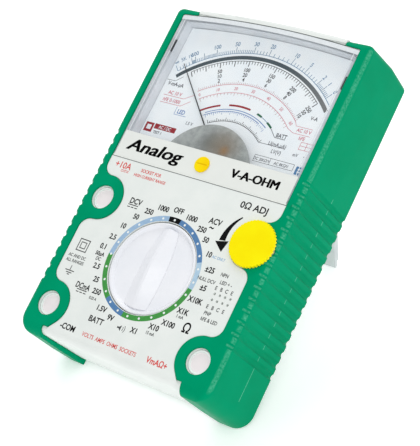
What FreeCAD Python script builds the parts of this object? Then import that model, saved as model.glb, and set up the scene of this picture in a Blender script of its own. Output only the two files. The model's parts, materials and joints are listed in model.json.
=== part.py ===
import FreeCAD, Part
import math
import os

# Analog multimeter in a rubber holster, standing on its tilt stand. Millimetres.
# Every piece is drawn in the meter's own frame: x to the right across the face, y up the face,
# z out of the face, with z = 0 on the holster's front surface. PLACEMENT then leans the meter
# back on its stand, with +Z up and the floor at z = 0.

Vec = FreeCAD.Vector
Z_AXIS = Vec(0, 0, 1)

# Holster
HOLSTER_HALF_W = 50.0
HOLSTER_BOTTOM = -77.7
HOLSTER_BACK = -36.2
CREASE_Z = -21.0
SIDE_DRAFT = 0.6
# z, inset of the side and bottom walls, top edge, lower and upper corner radius
HOLSTER_SECTIONS = (
    (HOLSTER_BACK, 0.0, 78.7, 7.5, 3.0),
    (CREASE_Z, 0.0, 79.0, 7.5, 2.6),
    (0.0, SIDE_DRAFT, 77.5, 7.2, 3.0),
)
HOLSTER_EDGE_R = 3.0
HOLSTER_BACK_R = 0.6
HOLSTER_END_R = 5.0
LIP_T = 0.8
TOP_GAP_HALF_W = 37.3
BOTTOM_GAP_HALF_W = 36.3
LOBE_R = 10.0
PANEL_CORNER_R = 5.0
WINDOW_HALF_W = 44.7
WAIST_HALF_W = 43.3
FLUTE_PITCH = 4.9
FLUTE_COUNT = 15
FLUTE_TOP_Y = 15.1
FLUTE_R = 1.5
FLUTE_DEPTH = 0.9
FLUTE_EDGE_DEPTH = 0.6

# Case halves
CASE_HALF_W = 47.7
CASE_BOTTOM = -75.5
CASE_SHOULDER = 75.9
CASE_TOP_SIDE = 78.0
CASE_TOP_MID = 79.2
TAB_EDGE_Y = 74.4
CASE_CORNER_R = 7.0
CASE_SHOULDER_R = 2.5
CASE_END_R = 3.6
CASE_SLOPE = 45.87
WALL = 2.0
PANEL_FRONT = -0.3
PANEL_Z = -LIP_T
PANEL_BACK = PANEL_Z - WALL
PARTING_Z = -17.0
BACK_Z = -34.5
FLOOR_Z = BACK_Z + WALL
CAVITY_HALF_W = CASE_HALF_W - WALL
CAVITY_BOTTOM = CASE_BOTTOM + WALL
CAVITY_TOP = CASE_SHOULDER - WALL

# Where the controls and sockets sit
JACK_X = 38.85
JACK_LOW_Y = -63.1
JACK_HIGH_Y = -14.1
JACKS = {
    "com": (-JACK_X, JACK_LOW_Y),
    "vma": (JACK_X, JACK_LOW_Y),
    "10a": (-JACK_X, JACK_HIGH_Y),
}
SWITCH_Y = -35.5
OHM_X = JACK_X
OHM_Y = JACK_HIGH_Y
OHM_KNOB_R = 9.9
OHM_KNOB_BACK = 0.25
OHM_KNOB_FRONT = 1.5
OHM_KNOB_TEETH = 44
ZERO_Y = 11.1
PIVOT_Y = 17.6

# Meter compartment
COVER_HALF_W = 44.5
COVER_BOTTOM = 4.7
COVER_TOP_SIDE = 74.0
COVER_TOP_MID = 76.3
COVER_FRONT = -0.3
COVER_T = 1.4
COVER_WALL = 2.1
COVER_SKIRT = -8.9
TONGUE_X = (42.8, 43.8)
TONGUE_Y = (57.0, 62.6)
TONGUE_TOP = -1.9
BAND_TOP = 17.0
BAND_T = 0.4
SCALE_Z = -6.7
SCALE_T = 0.6
MIRROR_R = 53.7
MIRROR_CENTRE_Y = 10.5
MIRROR_HALF_W = 0.85
MIRROR_SPREAD = 45.5
SHIELD_R = 22.5
SHIELD_CENTRE_X = -0.9
SHIELD_CENTRE_Y = 7.3
SHIELD_T = 0.6
PLATE_HOLE_X = -1.0
PLATE_HOLE_Y = 12.6
PLATE_HOLE_R = 16.4
ZERO_HEAD_R = 3.45
ZERO_HEAD_Z = (-0.2, 0.25)
BASE_FRONT = -9.2
BASE_T = 1.4

# Moving-coil movement, measured from its pivot axis
YOKE_R = 16.0
YOKE_BORE_R = 12.0
CORE_R = 8.0
YOKE_FRONT = -10.0
YOKE_BACK = -22.0
COIL_IN_X = 8.7
COIL_OUT_X = 9.9
COIL_HALF_W = 3.0
COIL_FRONT = -7.9
COIL_BACK = -23.4
COIL_BAR = 0.9
PIVOT_R = 0.35
PIVOT_FIT = 0.07
POINTER_REST = 45.0
POINTER_LENGTH = 51.5
POINTER_Z = -5.4
POINTER_T = 0.36
WEIGHT_R = 0.6
WEIGHT_AT = 4.6
WEIGHT_Z = POINTER_Z - 0.2
ZERO_ARM_BACK = -4.7
ZERO_ARM_FRONT = -4.4
ZERO_PIN_FROM_CENTRE = 1.6
FRONT_SPRING_Z = (-7.1, -6.8)
REAR_SPRING_Z = (-25.2, -24.9)
SPRING_PITCH = 0.55
SPRING_WIRE_T = 0.14
SPRING_START_R = 1.7
SPRING_HALF_TURNS = 11
BRIDGE_REACH = 17.4
BRIDGE_HALF_W = 1.1
FRONT_BRIDGE_Z = (-4.1, -3.3)
REAR_BRIDGE_Z = (-27.4, -26.6)

# Range switch
SWITCH_HOLE_R = 20.0
KNOB_R = 19.6
KNOB_BASE = -3.2
KNOB_DISH_R = 17.6
KNOB_DISH_Z = -1.9
GRIP_REACH = 17.4
# y along the grip, half width at its foot, half width on top, height of the ridge
GRIP_SECTIONS = (
    (-18.0, 5.4, 0.5, -1.1),
    (-13.0, 6.0, 0.6, 0.3),
    (-6.0, 6.3, 0.6, 1.3),
    (0.0, 6.2, 0.6, 1.65),
    (8.0, 5.6, 0.6, 1.1),
    (14.0, 4.4, 0.5, 0.4),
    (18.0, 3.3, 0.5, -0.2),
)
SHAFT_R = 4.5
SHAFT_FIT = 0.08
WELL_FLOOR = -3.6
WELL_T = 1.4
ROTOR_R = 17.0
ROTOR_FRONT = -7.5
ROTOR_BACK = -9.6
SWITCH_STEPS = 24
DETENT_R = 13.0

# Circuit board and batteries
PCB_FRONT = -11.0
PCB_T = 1.6
PCB_BACK = PCB_FRONT - PCB_T
AA_R = 7.1
AA_LENGTH = 50.0
AA_UPPER_Y = -23.4
AA_LOWER_Y = -37.9
AA_Z = -25.4
NINE_V = (48.0, 26.0, 17.0)
NINE_V_Y = -59.6
BAY_HALF_W = 27.0
BAY_TOP = -15.2
BAY_BOTTOM = -73.2
BAY_WALL = 1.2
BATTERY_SCREWS = ((-31.0, -45.0), (31.0, -45.0))

# Shrouded 4 mm sockets
CONTACT_R = 2.0
CONTACT_OUT_R = 2.6
POST_R = 3.4
WELL_R = 5.1
SHROUD_R = 6.2
SOCKET_MOUTH = -4.0
SOCKET_END = -23.0
HOLSTER_JACK_R = 5.35
CAP_R = 4.95
CAP_FACE = -1.6

# Case screws
CASE_SCREWS = ((-42.0, 66.0), (42.0, 66.0), (-31.0, -70.0), (31.0, -70.0))
SCREW_R = 1.4
SCREW_CLEAR_R = 1.5
SCREW_HEAD_R = 2.6

# Tilt stand
STAND_HINGE_Y = 46.0
STAND_HINGE_Z = -33.4
STAND_LENGTH = 59.3
STAND_OPEN = 49.5
STAND_IN_X = 26.1
STAND_OUT_X = 31.1
STAND_T = 2.0
STAND_BAR = 5.0
STAND_EYE_R = 2.6
STAND_PIN_R = 1.5
STAND_FIT = 0.08
STAND_FOOT_R = STAND_T / 2

# The meter leans so that the holster's lower back edge and the stand's foot share the floor.
SHIFT_Y = -9.43


def lean_angle():
    """Tilt in degrees that puts the holster's rounded back edge and the stand's foot level."""
    edge_y = HOLSTER_BOTTOM + HOLSTER_BACK_R
    edge_z = HOLSTER_BACK + HOLSTER_BACK_R
    reach = STAND_LENGTH - STAND_FOOT_R
    open_angle = math.radians(STAND_OPEN)
    foot_y = STAND_HINGE_Y - reach * math.cos(open_angle)
    foot_z = STAND_HINGE_Z - reach * math.sin(open_angle)
    run = foot_y - edge_y
    drop = edge_z - foot_z
    slope = math.atan2(drop, run)
    level = math.asin((HOLSTER_BACK_R - STAND_FOOT_R) / math.hypot(run, drop))
    return math.degrees(slope - level), edge_y, edge_z


LEAN, EDGE_Y, EDGE_Z = lean_angle()
LEAN_RAD = math.radians(LEAN)
SHIFT_Z = HOLSTER_BACK_R - EDGE_Y * math.sin(LEAN_RAD) - EDGE_Z * math.cos(LEAN_RAD)
PLACEMENT = FreeCAD.Placement(Vec(0, SHIFT_Y, SHIFT_Z), FreeCAD.Rotation(Vec(1, 0, 0), LEAN))


def box(x0, x1, y0, y1, z0, z1):
    return Part.makeBox(x1 - x0, y1 - y0, z1 - z0, Vec(x0, y0, z0))


def rod(x, y, z0, z1, radius):
    return Part.makeCylinder(radius, z1 - z0, Vec(x, y, z0), Z_AXIS)


def tube(x, y, z0, z1, outer, inner):
    return rod(x, y, z0, z1, outer).cut(rod(x, y, z0 - 1, z1 + 1, inner))


def cross_rod(x0, x1, y, z, radius):
    return Part.makeCylinder(radius, x1 - x0, Vec(x0, y, z), Vec(1, 0, 0))


def fuse(shapes):
    shapes = list(shapes)
    return shapes[0].multiFuse(shapes[1:]).removeSplitter() if len(shapes) > 1 else shapes[0]


def trace(start, steps):
    """Closed wire in the plane z = 0. A step is an end point, or a mid and an end point of an arc."""
    edges = []
    here = Vec(start[0], start[1], 0)
    for step in steps:
        end = Vec(step[-2], step[-1], 0)
        if len(step) == 4:
            middle = Vec(step[0], step[1], 0)
            edges.append(Part.Arc(here, middle, end).toShape())
        else:
            edges.append(Part.makeLine(here, end))
        here = end
    first = Vec(start[0], start[1], 0)
    if here.distanceToPoint(first) > 1e-6:
        edges.append(Part.makeLine(here, first))
    return Part.Wire(edges)


def prism(wire, z0, z1):
    face = Part.Face(wire)
    face.translate(Vec(0, 0, z0))
    return face.extrude(Vec(0, 0, z1 - z0))


def arc_mid(cx, cy, radius, a0, a1):
    """Middle point of an arc between two angles in degrees."""
    angle = math.radians((a0 + a1) / 2)
    return cx + radius * math.cos(angle), cy + radius * math.sin(angle)


def rounded_wire(x0, x1, y0, y1, low_r, high_r):
    """Rectangle whose lower corners have radius low_r and upper corners high_r."""
    start = (x0 + low_r, y0)
    return trace(start, [
        (x1 - low_r, y0),
        arc_mid(x1 - low_r, y0 + low_r, low_r, -90, 0) + (x1, y0 + low_r),
        (x1, y1 - high_r),
        arc_mid(x1 - high_r, y1 - high_r, high_r, 0, 90) + (x1 - high_r, y1),
        (x0 + high_r, y1),
        arc_mid(x0 + high_r, y1 - high_r, high_r, 90, 180) + (x0, y1 - high_r),
        (x0, y0 + low_r),
        arc_mid(x0 + low_r, y0 + low_r, low_r, 180, 270) + start,
    ])


def rounded_prism(x0, x1, y0, y1, z0, z1, radius):
    return prism(rounded_wire(x0, x1, y0, y1, radius, radius), z0, z1)


def round_edges(shape, radius, wanted):
    """Fillet the edges that pass the test, leaving the shape as it is if none do."""
    edges = [edge for edge in shape.Edges if wanted(edge)]
    return shape.makeFillet(radius, edges) if edges else shape


def at_height(edge, z):
    box_ = edge.BoundBox
    return abs(box_.ZMin - z) < 1e-4 and abs(box_.ZMax - z) < 1e-4


def mirrored(shape):
    return shape.mirror(Vec(0, 0, 0), Vec(1, 0, 0))


def both_sides(shape):
    return fuse([shape, mirrored(shape)])


# ---------------------------------------------------------------- holster

def holster_section(z, inset, top, low_r, high_r):
    wire = rounded_wire(-HOLSTER_HALF_W + inset, HOLSTER_HALF_W - inset,
                        HOLSTER_BOTTOM + inset, top, low_r, high_r)
    wire.translate(Vec(0, 0, z))
    return wire


def rolled_end(y, z, radius):
    """Everything above y and behind z, with the edge between them rolled over."""
    far = 200
    profile = Part.makeBox(far, far, far, Vec(-far / 2, y, z - far))
    return round_edges(profile, radius, lambda e: abs(e.BoundBox.YMax - y) < 1e-6
                       and at_height(e, z))


def front_opening(shrink):
    """Outline of the holster's front opening, drawn smaller all round by shrink."""
    half = prism(half_opening(shrink), PANEL_Z - 1, 2)
    return both_sides(half)


def half_opening(shrink):
    """Left half of the front opening: window, two lobes round the sockets and the waist between."""
    join = LOBE_R + PANEL_CORNER_R
    lobe_r = LOBE_R + shrink
    corner_r = PANEL_CORNER_R - shrink
    window_x = -WINDOW_HALF_W + shrink
    waist_edge = -WAIST_HALF_W + shrink
    lobe_share = lobe_r / join
    centre_x = -JACK_X

    corner_x = -WINDOW_HALF_W + PANEL_CORNER_R
    rise = math.sqrt(join ** 2 - (corner_x - centre_x) ** 2)
    corner_y = JACK_HIGH_Y + rise
    upper_in = (centre_x + (corner_x - centre_x) * lobe_share, JACK_HIGH_Y + rise * lobe_share)

    waist_x = -WAIST_HALF_W + PANEL_CORNER_R
    drop = math.sqrt(join ** 2 - (waist_x - centre_x) ** 2)
    upper_out = (centre_x + (waist_x - centre_x) * lobe_share, JACK_HIGH_Y - drop * lobe_share)
    lower_in = (upper_out[0], JACK_LOW_Y + drop * lobe_share)
    waist_high = JACK_HIGH_Y - drop
    waist_low = JACK_LOW_Y + drop

    leave = math.radians(-40)
    lower_out = (centre_x + lobe_r * math.cos(leave), JACK_LOW_Y + lobe_r * math.sin(leave))
    fall = lower_out[1] - (CASE_BOTTOM - 0.1)
    exit_x = lower_out[0] + fall * math.tan(leave)
    top_r = 0.6
    top_y = TAB_EDGE_Y - shrink
    bow = COVER_TOP_MID - COVER_TOP_SIDE

    return trace((0, top_y + bow), [
        (-TOP_GAP_HALF_W, top_y + 0.5),
        (window_x + top_r, top_y),
        arc_mid(window_x + top_r, top_y - top_r, top_r, 90, 180) + (window_x, top_y - top_r),
        (window_x, corner_y),
        arc_mid(corner_x, corner_y, corner_r, 180, 270) + upper_in,
        (centre_x + lobe_r, JACK_HIGH_Y) + upper_out,
        arc_mid(waist_x, waist_high, corner_r, 90, 180) + (waist_edge, waist_high),
        (waist_edge, waist_low),
        arc_mid(waist_x, waist_low, corner_r, 180, 270) + lower_in,
        (centre_x + lobe_r, JACK_LOW_Y) + lower_out,
        (exit_x, CASE_BOTTOM - 0.1),
        (exit_x, HOLSTER_BOTTOM - 5),
        (0, HOLSTER_BOTTOM - 5),
    ])


def edge_wedges(reach):
    """Wedges off both long front edges, beyond the slope where x + z = reach."""
    wedges = []
    for side in (-1, 1):
        points = [Vec(side * (reach + x), -90, z) for x, z in ((-1, 1), (5, -5), (5, 1), (-1, 1))]
        wedges.append(Part.Face(Part.makePolygon(points)).extrude(Vec(0, 180, 0)))
    return wedges


def make_holster():
    shell = Part.makeLoft([holster_section(*row) for row in HOLSTER_SECTIONS], True, True)
    shell = round_edges(shell, HOLSTER_EDGE_R, lambda e: at_height(e, 0.0))
    shell = round_edges(shell, HOLSTER_BACK_R, lambda e: at_height(e, HOLSTER_BACK))
    shell = shell.common(rolled_end(HOLSTER_BOTTOM + 0.3, 0.0, HOLSTER_END_R).fuse(
        box(-100, 100, HOLSTER_BOTTOM - 1, 0, HOLSTER_BACK - 1, -HOLSTER_END_R)))

    clear = 0.1
    outline = rounded_wire(-CASE_HALF_W - clear, CASE_HALF_W + clear, CASE_BOTTOM - clear,
                           CASE_SHOULDER + clear, CASE_CORNER_R, CASE_SHOULDER_R)
    body = prism(outline, BACK_Z - clear, PANEL_Z + clear)
    body = body.common(rolled_end(CASE_BOTTOM - clear, PANEL_FRONT + clear, CASE_END_R))
    body = body.cut(edge_wedges(CASE_SLOPE + 1.4 * clear))
    knob_gap = rod(OHM_X, OHM_Y, PANEL_Z - 1, 2, 9.3)
    knob_side = box(OHM_X - 11, OHM_X, OHM_Y - LOBE_R, OHM_Y + LOBE_R, PANEL_Z - 1, 2)
    back_gap = rounded_prism(-39, 39, -68, 68, HOLSTER_BACK - 1, BACK_Z + 1, 6)
    top_gap = box(-TOP_GAP_HALF_W, TOP_GAP_HALF_W, CASE_SHOULDER - 5, CASE_TOP_MID + 5,
                  HOLSTER_BACK - 1, 2)
    bottom_gap = box(-BOTTOM_GAP_HALF_W, BOTTOM_GAP_HALF_W, HOLSTER_BOTTOM - 5, CASE_BOTTOM + 3,
                     HOLSTER_BACK - 1, 2)
    holes = [rod(x, y, PANEL_Z - 1, 2, HOLSTER_JACK_R) for x, y in JACKS.values()]
    cutters = [body, front_opening(0.0), knob_gap, knob_side, back_gap, top_gap, bottom_gap]
    return shell.cut(cutters + holes + flutes())


def flutes():
    """Shallow finger flutes down both side walls, carried on across the rounded front edge."""
    offset = HOLSTER_HALF_W + FLUTE_R - FLUTE_DEPTH
    slant = math.sqrt(0.5)
    centre_x = HOLSTER_HALF_W - SIDE_DRAFT - HOLSTER_EDGE_R
    away = HOLSTER_EDGE_R + FLUTE_R - FLUTE_EDGE_DEPTH
    reach = 4.0
    cuts = []
    for index in range(FLUTE_COUNT):
        y = FLUTE_TOP_Y - index * FLUTE_PITCH
        for side in (-1, 1):
            cuts.append(rod(side * offset, y, HOLSTER_BACK - 1, 1, FLUTE_R))
            middle = Vec(side * (centre_x + away * slant), y, away * slant - HOLSTER_EDGE_R)
            run = Vec(-side * slant, 0, slant)
            cuts.append(Part.makeCylinder(FLUTE_R, 2 * reach, middle - run * reach, run))
    return cuts


# ---------------------------------------------------------------- case halves

def case_wire():
    """Plan of both case halves: bowed top edge with a step down to the holster's corner tabs."""
    r = CASE_CORNER_R
    start = (-CASE_HALF_W + r, CASE_BOTTOM)
    gap = TOP_GAP_HALF_W - 0.1
    inner = CASE_HALF_W - CASE_SHOULDER_R
    low = CASE_SHOULDER - CASE_SHOULDER_R
    return trace(start, [
        (CASE_HALF_W - r, CASE_BOTTOM),
        arc_mid(CASE_HALF_W - r, CASE_BOTTOM + r, r, -90, 0) + (CASE_HALF_W, CASE_BOTTOM + r),
        (CASE_HALF_W, low),
        arc_mid(inner, low, CASE_SHOULDER_R, 0, 90) + (inner, CASE_SHOULDER),
        (gap, CASE_SHOULDER),
        (gap, CASE_TOP_SIDE),
        (0, CASE_TOP_MID, -gap, CASE_TOP_SIDE),
        (-gap, CASE_SHOULDER),
        (-inner, CASE_SHOULDER),
        arc_mid(-inner, low, CASE_SHOULDER_R, 90, 180) + (-CASE_HALF_W, low),
        (-CASE_HALF_W, CASE_BOTTOM + r),
        arc_mid(-CASE_HALF_W + r, CASE_BOTTOM + r, r, 180, 270) + start,
    ])


def cover_wire(grow):
    """Plan of the clear cover: straight sides and a bowed top."""
    half = COVER_HALF_W + grow
    return trace((-half, COVER_BOTTOM - grow), [
        (half, COVER_BOTTOM - grow),
        (half, COVER_TOP_SIDE + grow),
        (0, COVER_TOP_MID + grow, -half, COVER_TOP_SIDE + grow),
    ])


def make_front_case():
    shell = prism(case_wire(), PARTING_Z, PANEL_FRONT)
    shell = shell.common(rolled_end(CASE_BOTTOM, PANEL_FRONT, CASE_END_R))
    top_edge = lambda e: at_height(e, PANEL_FRONT) and e.BoundBox.YMin > CASE_TOP_SIDE - 0.01
    shell = round_edges(shell, 1.6, top_edge)
    lip_zone = box(-60, 60, CASE_BOTTOM - 1, CASE_SHOULDER + 0.01, PANEL_Z, 1)
    shell = shell.cut([lip_zone.cut(front_opening(0.15))] + edge_wedges(CASE_SLOPE))
    cavity = rounded_prism(-CAVITY_HALF_W, CAVITY_HALF_W, CAVITY_BOTTOM, CAVITY_TOP,
                           PARTING_Z - 1, PANEL_BACK, CASE_CORNER_R - WALL)
    window = prism(cover_wire(0.1), COVER_SKIRT, 1)
    shell = shell.cut([cavity, window])

    well = tube(0, SWITCH_Y, WELL_FLOOR - WELL_T, PANEL_BACK + 0.5, SWITCH_HOLE_R + 1.6,
                SWITCH_HOLE_R)
    floor = rod(0, SWITCH_Y, WELL_FLOOR - WELL_T, WELL_FLOOR, SWITCH_HOLE_R + 0.5)
    land = tube(0, SWITCH_Y, WELL_FLOOR - WELL_T - 1.0, WELL_FLOOR - WELL_T + 0.1,
                DETENT_R + 1.6, DETENT_R - 1.6)
    additions = [well, floor, land]
    for x, y in JACKS.values():
        additions.append(rod(x, y, SOCKET_END + 2, PANEL_BACK + 0.5, SHROUD_R))
    for x, y in CASE_SCREWS[:2]:
        top = BASE_FRONT - BASE_T - 0.4
        additions.append(rod(x, y, PARTING_Z, top, 3.2))
        x0, x1 = sorted((x, math.copysign(CASE_HALF_W - 1, x)))
        additions.append(box(x0, x1, y - 1, y + 1, PARTING_Z, top))
    for x, y in CASE_SCREWS[2:]:
        additions.append(rod(x, y, PARTING_Z, PANEL_BACK + 0.5, 3.2))
    for x, y in pcb_screw_places():
        additions.append(rod(x, y, PCB_FRONT, PANEL_BACK + 0.5, 2.6))
    shell = fuse([shell] + additions)

    cuts = [rod(0, SWITCH_Y, WELL_FLOOR, 2, SWITCH_HOLE_R),
            rod(0, SWITCH_Y, WELL_FLOOR - 4, WELL_FLOOR + 1, SHAFT_R + SHAFT_FIT),
            rod(OHM_X, OHM_Y, PANEL_BACK - 1, 1, 4.3)]
    for step in range(SWITCH_STEPS):
        angle = math.radians(step * 360 / SWITCH_STEPS)
        away = Vec(-math.sin(angle), math.cos(angle), 0)
        start = Vec(0, SWITCH_Y, WELL_FLOOR - WELL_T - 1.6) + away * (DETENT_R - 2)
        cuts.append(Part.makeCylinder(1.0, 4, start, away))
    for x, y in JACKS.values():
        cuts.append(tube(x, y, SOCKET_MOUTH - 14, 1, WELL_R, POST_R))
        cuts.append(rod(x, y, SOCKET_MOUTH, 1, WELL_R))
        cuts.append(rod(x, y, SOCKET_END, SOCKET_MOUTH + 1, CONTACT_OUT_R + 0.02))
    for x, y in CASE_SCREWS:
        cuts.append(rod(x, y, PARTING_Z - 1, -12.5, SCREW_CLEAR_R))
    for x, y in pcb_screw_places():
        cuts.append(rod(x, y, PCB_FRONT - 1, -5, 1.05))
    for x, y in transistor_pins():
        cuts.append(rod(x, y, PANEL_BACK - 1, 1, 0.5))
    return shell.cut(cuts)


def pcb_screw_places():
    return ((-22, -6), (22, -6), (-26, -66), (26, -66))


def brace_range(grow):
    """Where the stand's upper cross-bar lies when it is folded, with room round it."""
    return STAND_HINGE_Y - 9 - grow, STAND_HINGE_Y - 6 + grow


def make_rear_case():
    shell = prism(case_wire(), BACK_Z, PARTING_Z - 0.05)
    end_edge = lambda e: at_height(e, BACK_Z) and abs(e.BoundBox.YMax - CASE_BOTTOM) < 1e-3
    shell = round_edges(shell, 1.6, end_edge)
    cavity = rounded_prism(-CAVITY_HALF_W, CAVITY_HALF_W, CAVITY_BOTTOM, CAVITY_TOP,
                           FLOOR_Z, PARTING_Z + 1, CASE_CORNER_R - WALL)
    shell = shell.cut(cavity)

    bay_out = BAY_HALF_W + BAY_WALL
    ring = box(-bay_out, bay_out, BAY_BOTTOM - 0.5, BAY_TOP + BAY_WALL, FLOOR_Z - 0.5,
               PARTING_Z - 0.05)
    groove_back = FLOOR_Z + 1.6
    additions = [ring]
    for side in (-1, 1):
        x0, x1 = sorted((side * (STAND_IN_X - 1.8), side * (STAND_OUT_X + 4.4)))
        additions.append(box(x0, x1, STAND_HINGE_Y - 7, STAND_HINGE_Y + 5, FLOOR_Z - 0.5, -29.0))
        additions.append(box(x0, x1, STAND_HINGE_Y - STAND_LENGTH - 0.7, STAND_HINGE_Y - 6,
                             FLOOR_Z - 0.5, groove_back))
    foot_y = STAND_HINGE_Y - STAND_LENGTH
    for y0, y1 in ((foot_y - 0.7, foot_y + STAND_BAR + 1.6), brace_range(1.6)):
        additions.append(box(-STAND_OUT_X - 1.6, STAND_OUT_X + 1.6, y0, y1, FLOOR_Z - 0.5,
                             groove_back))
    for x, y in CASE_SCREWS:
        additions.append(rod(x, y, FLOOR_Z - 0.5, PARTING_Z - 0.05, 3.6))
    for x, y in BATTERY_SCREWS:
        additions.append(rod(x, y, FLOOR_Z - 0.5, -24, 2.4))
    shell = fuse([shell] + additions)

    cuts = [box(-BAY_HALF_W, BAY_HALF_W, BAY_BOTTOM, BAY_TOP, BACK_Z - 1, -13)]
    flange = box(-34.2, 34.2, -51.2, -38.8, BACK_Z - 1, BACK_Z + 1.7)
    cuts.append(flange)
    for side in (-1, 1):
        x0, x1 = sorted((side * (STAND_IN_X - 0.4), side * (STAND_OUT_X + 0.4)))
        cuts.append(box(x0, x1, foot_y - 0.4, STAND_HINGE_Y + 3.4, BACK_Z - 1,
                        STAND_HINGE_Z + 1.5))
        cuts.append(cross_rod(x0, x1, STAND_HINGE_Y, STAND_HINGE_Z, STAND_EYE_R + 0.4))
        p0, p1 = sorted((side * (STAND_OUT_X - 1), side * (STAND_OUT_X + 3.2)))
        cuts.append(cross_rod(p0, p1, STAND_HINGE_Y, STAND_HINGE_Z, STAND_PIN_R + 0.02))
    for y0, y1 in ((foot_y - 0.4, foot_y + STAND_BAR + 0.5), brace_range(0.5)):
        cuts.append(box(-STAND_OUT_X, STAND_OUT_X, y0, y1, BACK_Z - 1, STAND_HINGE_Z + 1.5))
    for x, y in CASE_SCREWS:
        cuts.append(rod(x, y, BACK_Z - 1, PARTING_Z + 1, SCREW_CLEAR_R))
        cuts.append(rod(x, y, BACK_Z - 1, -22, SCREW_HEAD_R + 0.3))
    for x, y in BATTERY_SCREWS:
        cuts.append(rod(x, y, BACK_Z - 1, -25, 1.15))
    return shell.cut(cuts)


def make_battery_cover():
    z1 = BACK_Z + 1.5
    plate = rounded_prism(-BAY_HALF_W + 0.3, BAY_HALF_W - 0.3, BAY_BOTTOM + 0.3, BAY_TOP - 0.3,
                          BACK_Z, z1, 1.0)
    ears = rounded_prism(-33.9, 33.9, -50.9, -39.1, BACK_Z, z1, 1.5)
    cover = fuse([plate, ears])
    ribs = []
    for index in range(6):
        y = -66.0 + index * 2.2
        ribs.append(box(-9, 9, y, y + 1.0, BACK_Z - 0.01, BACK_Z + 0.5))
    holes = [rod(x, y, BACK_Z - 1, z1 + 1, 1.4) for x, y in BATTERY_SCREWS]
    sinks = [rod(x, y, BACK_Z - 1, BACK_Z + 0.7, 2.5) for x, y in BATTERY_SCREWS]
    return cover.cut(ribs + holes + sinks)


def pan_screw(x, y, head_z, length, head_r, shank_r, toward):
    """Cross-head screw whose head starts at head_z; toward is +1 when the shank runs to +z."""
    ends = sorted((head_z, head_z + toward * 1.2))
    head = rod(x, y, ends[0], ends[1], head_r)
    run = sorted((head_z + toward * 1.1, head_z + toward * (1.2 + length)))
    shank = rod(x, y, run[0], run[1], shank_r)
    slot = sorted((head_z - toward * 0.1, head_z + toward * 0.6))
    bars = [box(x - 0.35, x + 0.35, y - head_r * 0.62, y + head_r * 0.62, slot[0], slot[1]),
            box(x - head_r * 0.62, x + head_r * 0.62, y - 0.35, y + 0.35, slot[0], slot[1])]
    return fuse([head, shank]).cut(bars)


def make_case_screws():
    return Part.makeCompound([pan_screw(x, y, -23.25, 9.0, SCREW_HEAD_R, SCREW_R, 1)
                              for x, y in CASE_SCREWS])


def make_battery_cover_screws():
    return Part.makeCompound([pan_screw(x, y, BACK_Z - 0.5, 6.5, 2.3, 1.05, 1)
                              for x, y in BATTERY_SCREWS])


# ---------------------------------------------------------------- meter front

def make_meter_cover():
    outer = prism(cover_wire(0.0), COVER_SKIRT, COVER_FRONT)
    outer = round_edges(outer, 0.5, lambda e: at_height(e, COVER_FRONT))
    inner = prism(cover_wire(-COVER_WALL), COVER_SKIRT - 1, COVER_FRONT - COVER_T)
    recess = box(-COVER_HALF_W + 0.6, COVER_HALF_W - 0.6, COVER_BOTTOM + 0.6, BAND_TOP,
                 COVER_FRONT - BAND_T, 1)
    hole = rod(0, ZERO_Y, COVER_FRONT - COVER_T - 1, 1, 3.2)
    return outer.cut([inner, recess, hole] + tongues(0.1))


def make_cover_band():
    plate = box(-COVER_HALF_W + 0.65, COVER_HALF_W - 0.65, COVER_BOTTOM + 0.65, BAND_TOP - 0.05,
                COVER_FRONT - BAND_T + 0.02, COVER_FRONT + 0.02)
    return plate.cut(rod(0, ZERO_Y, -3, 1, 3.3))


def tongues(grow):
    """Locating tongues that stand in the cover's side walls, drawn larger all round by grow."""
    shapes = []
    for side in (-1, 1):
        x0, x1 = sorted((side * (TONGUE_X[0] - grow), side * (TONGUE_X[1] + grow)))
        shapes.append(box(x0, x1, TONGUE_Y[0] - grow, TONGUE_Y[1] + grow, BASE_FRONT - 0.2,
                          TONGUE_TOP + grow))
    return shapes


def make_zero_screw():
    low, high = ZERO_HEAD_Z
    head = rod(0, ZERO_Y, low, high, ZERO_HEAD_R)
    head = round_edges(head, 0.2, lambda e: at_height(e, high))
    stem = rod(0, ZERO_Y, -3.2, low + 0.1, 3.1)
    pin = rod(0, ZERO_Y + ZERO_PIN_FROM_CENTRE, ZERO_ARM_BACK, -3.1, 0.5)
    slot = box(-2.6, 2.6, ZERO_Y - 0.25, ZERO_Y + 0.25, high - 0.2, 2)
    return fuse([head, stem, pin]).cut(slot)


def scale_wire(grow):
    half = COVER_HALF_W - COVER_WALL - 0.2 + grow
    return trace((-half, COVER_BOTTOM + 2.6), [
        (half, COVER_BOTTOM + 2.6),
        (half, COVER_TOP_SIDE - COVER_WALL - 0.3),
        (0, COVER_TOP_MID - COVER_WALL - 0.3, -half, COVER_TOP_SIDE - COVER_WALL - 0.3),
    ])


def make_scale_plate():
    plate = prism(scale_wire(0), SCALE_Z - SCALE_T, SCALE_Z)
    gap = rod(PLATE_HOLE_X, PLATE_HOLE_Y, SCALE_Z - 2, SCALE_Z + 1, PLATE_HOLE_R)
    leg_gap = box(-BRIDGE_REACH - 0.3, BRIDGE_REACH + 0.3, PIVOT_Y - BRIDGE_HALF_W - 0.3,
                  PIVOT_Y + BRIDGE_HALF_W + 0.3, SCALE_Z - 2, SCALE_Z + 1)
    strip = mirror_arc(SCALE_Z - 0.32, SCALE_Z + 1, MIRROR_HALF_W + 0.03)
    holes = [rod(x, y, SCALE_Z - 2, SCALE_Z + 1, 1.05) for x, y in plate_posts()[:2]]
    return plate.cut([gap, leg_gap, strip] + holes)


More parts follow.
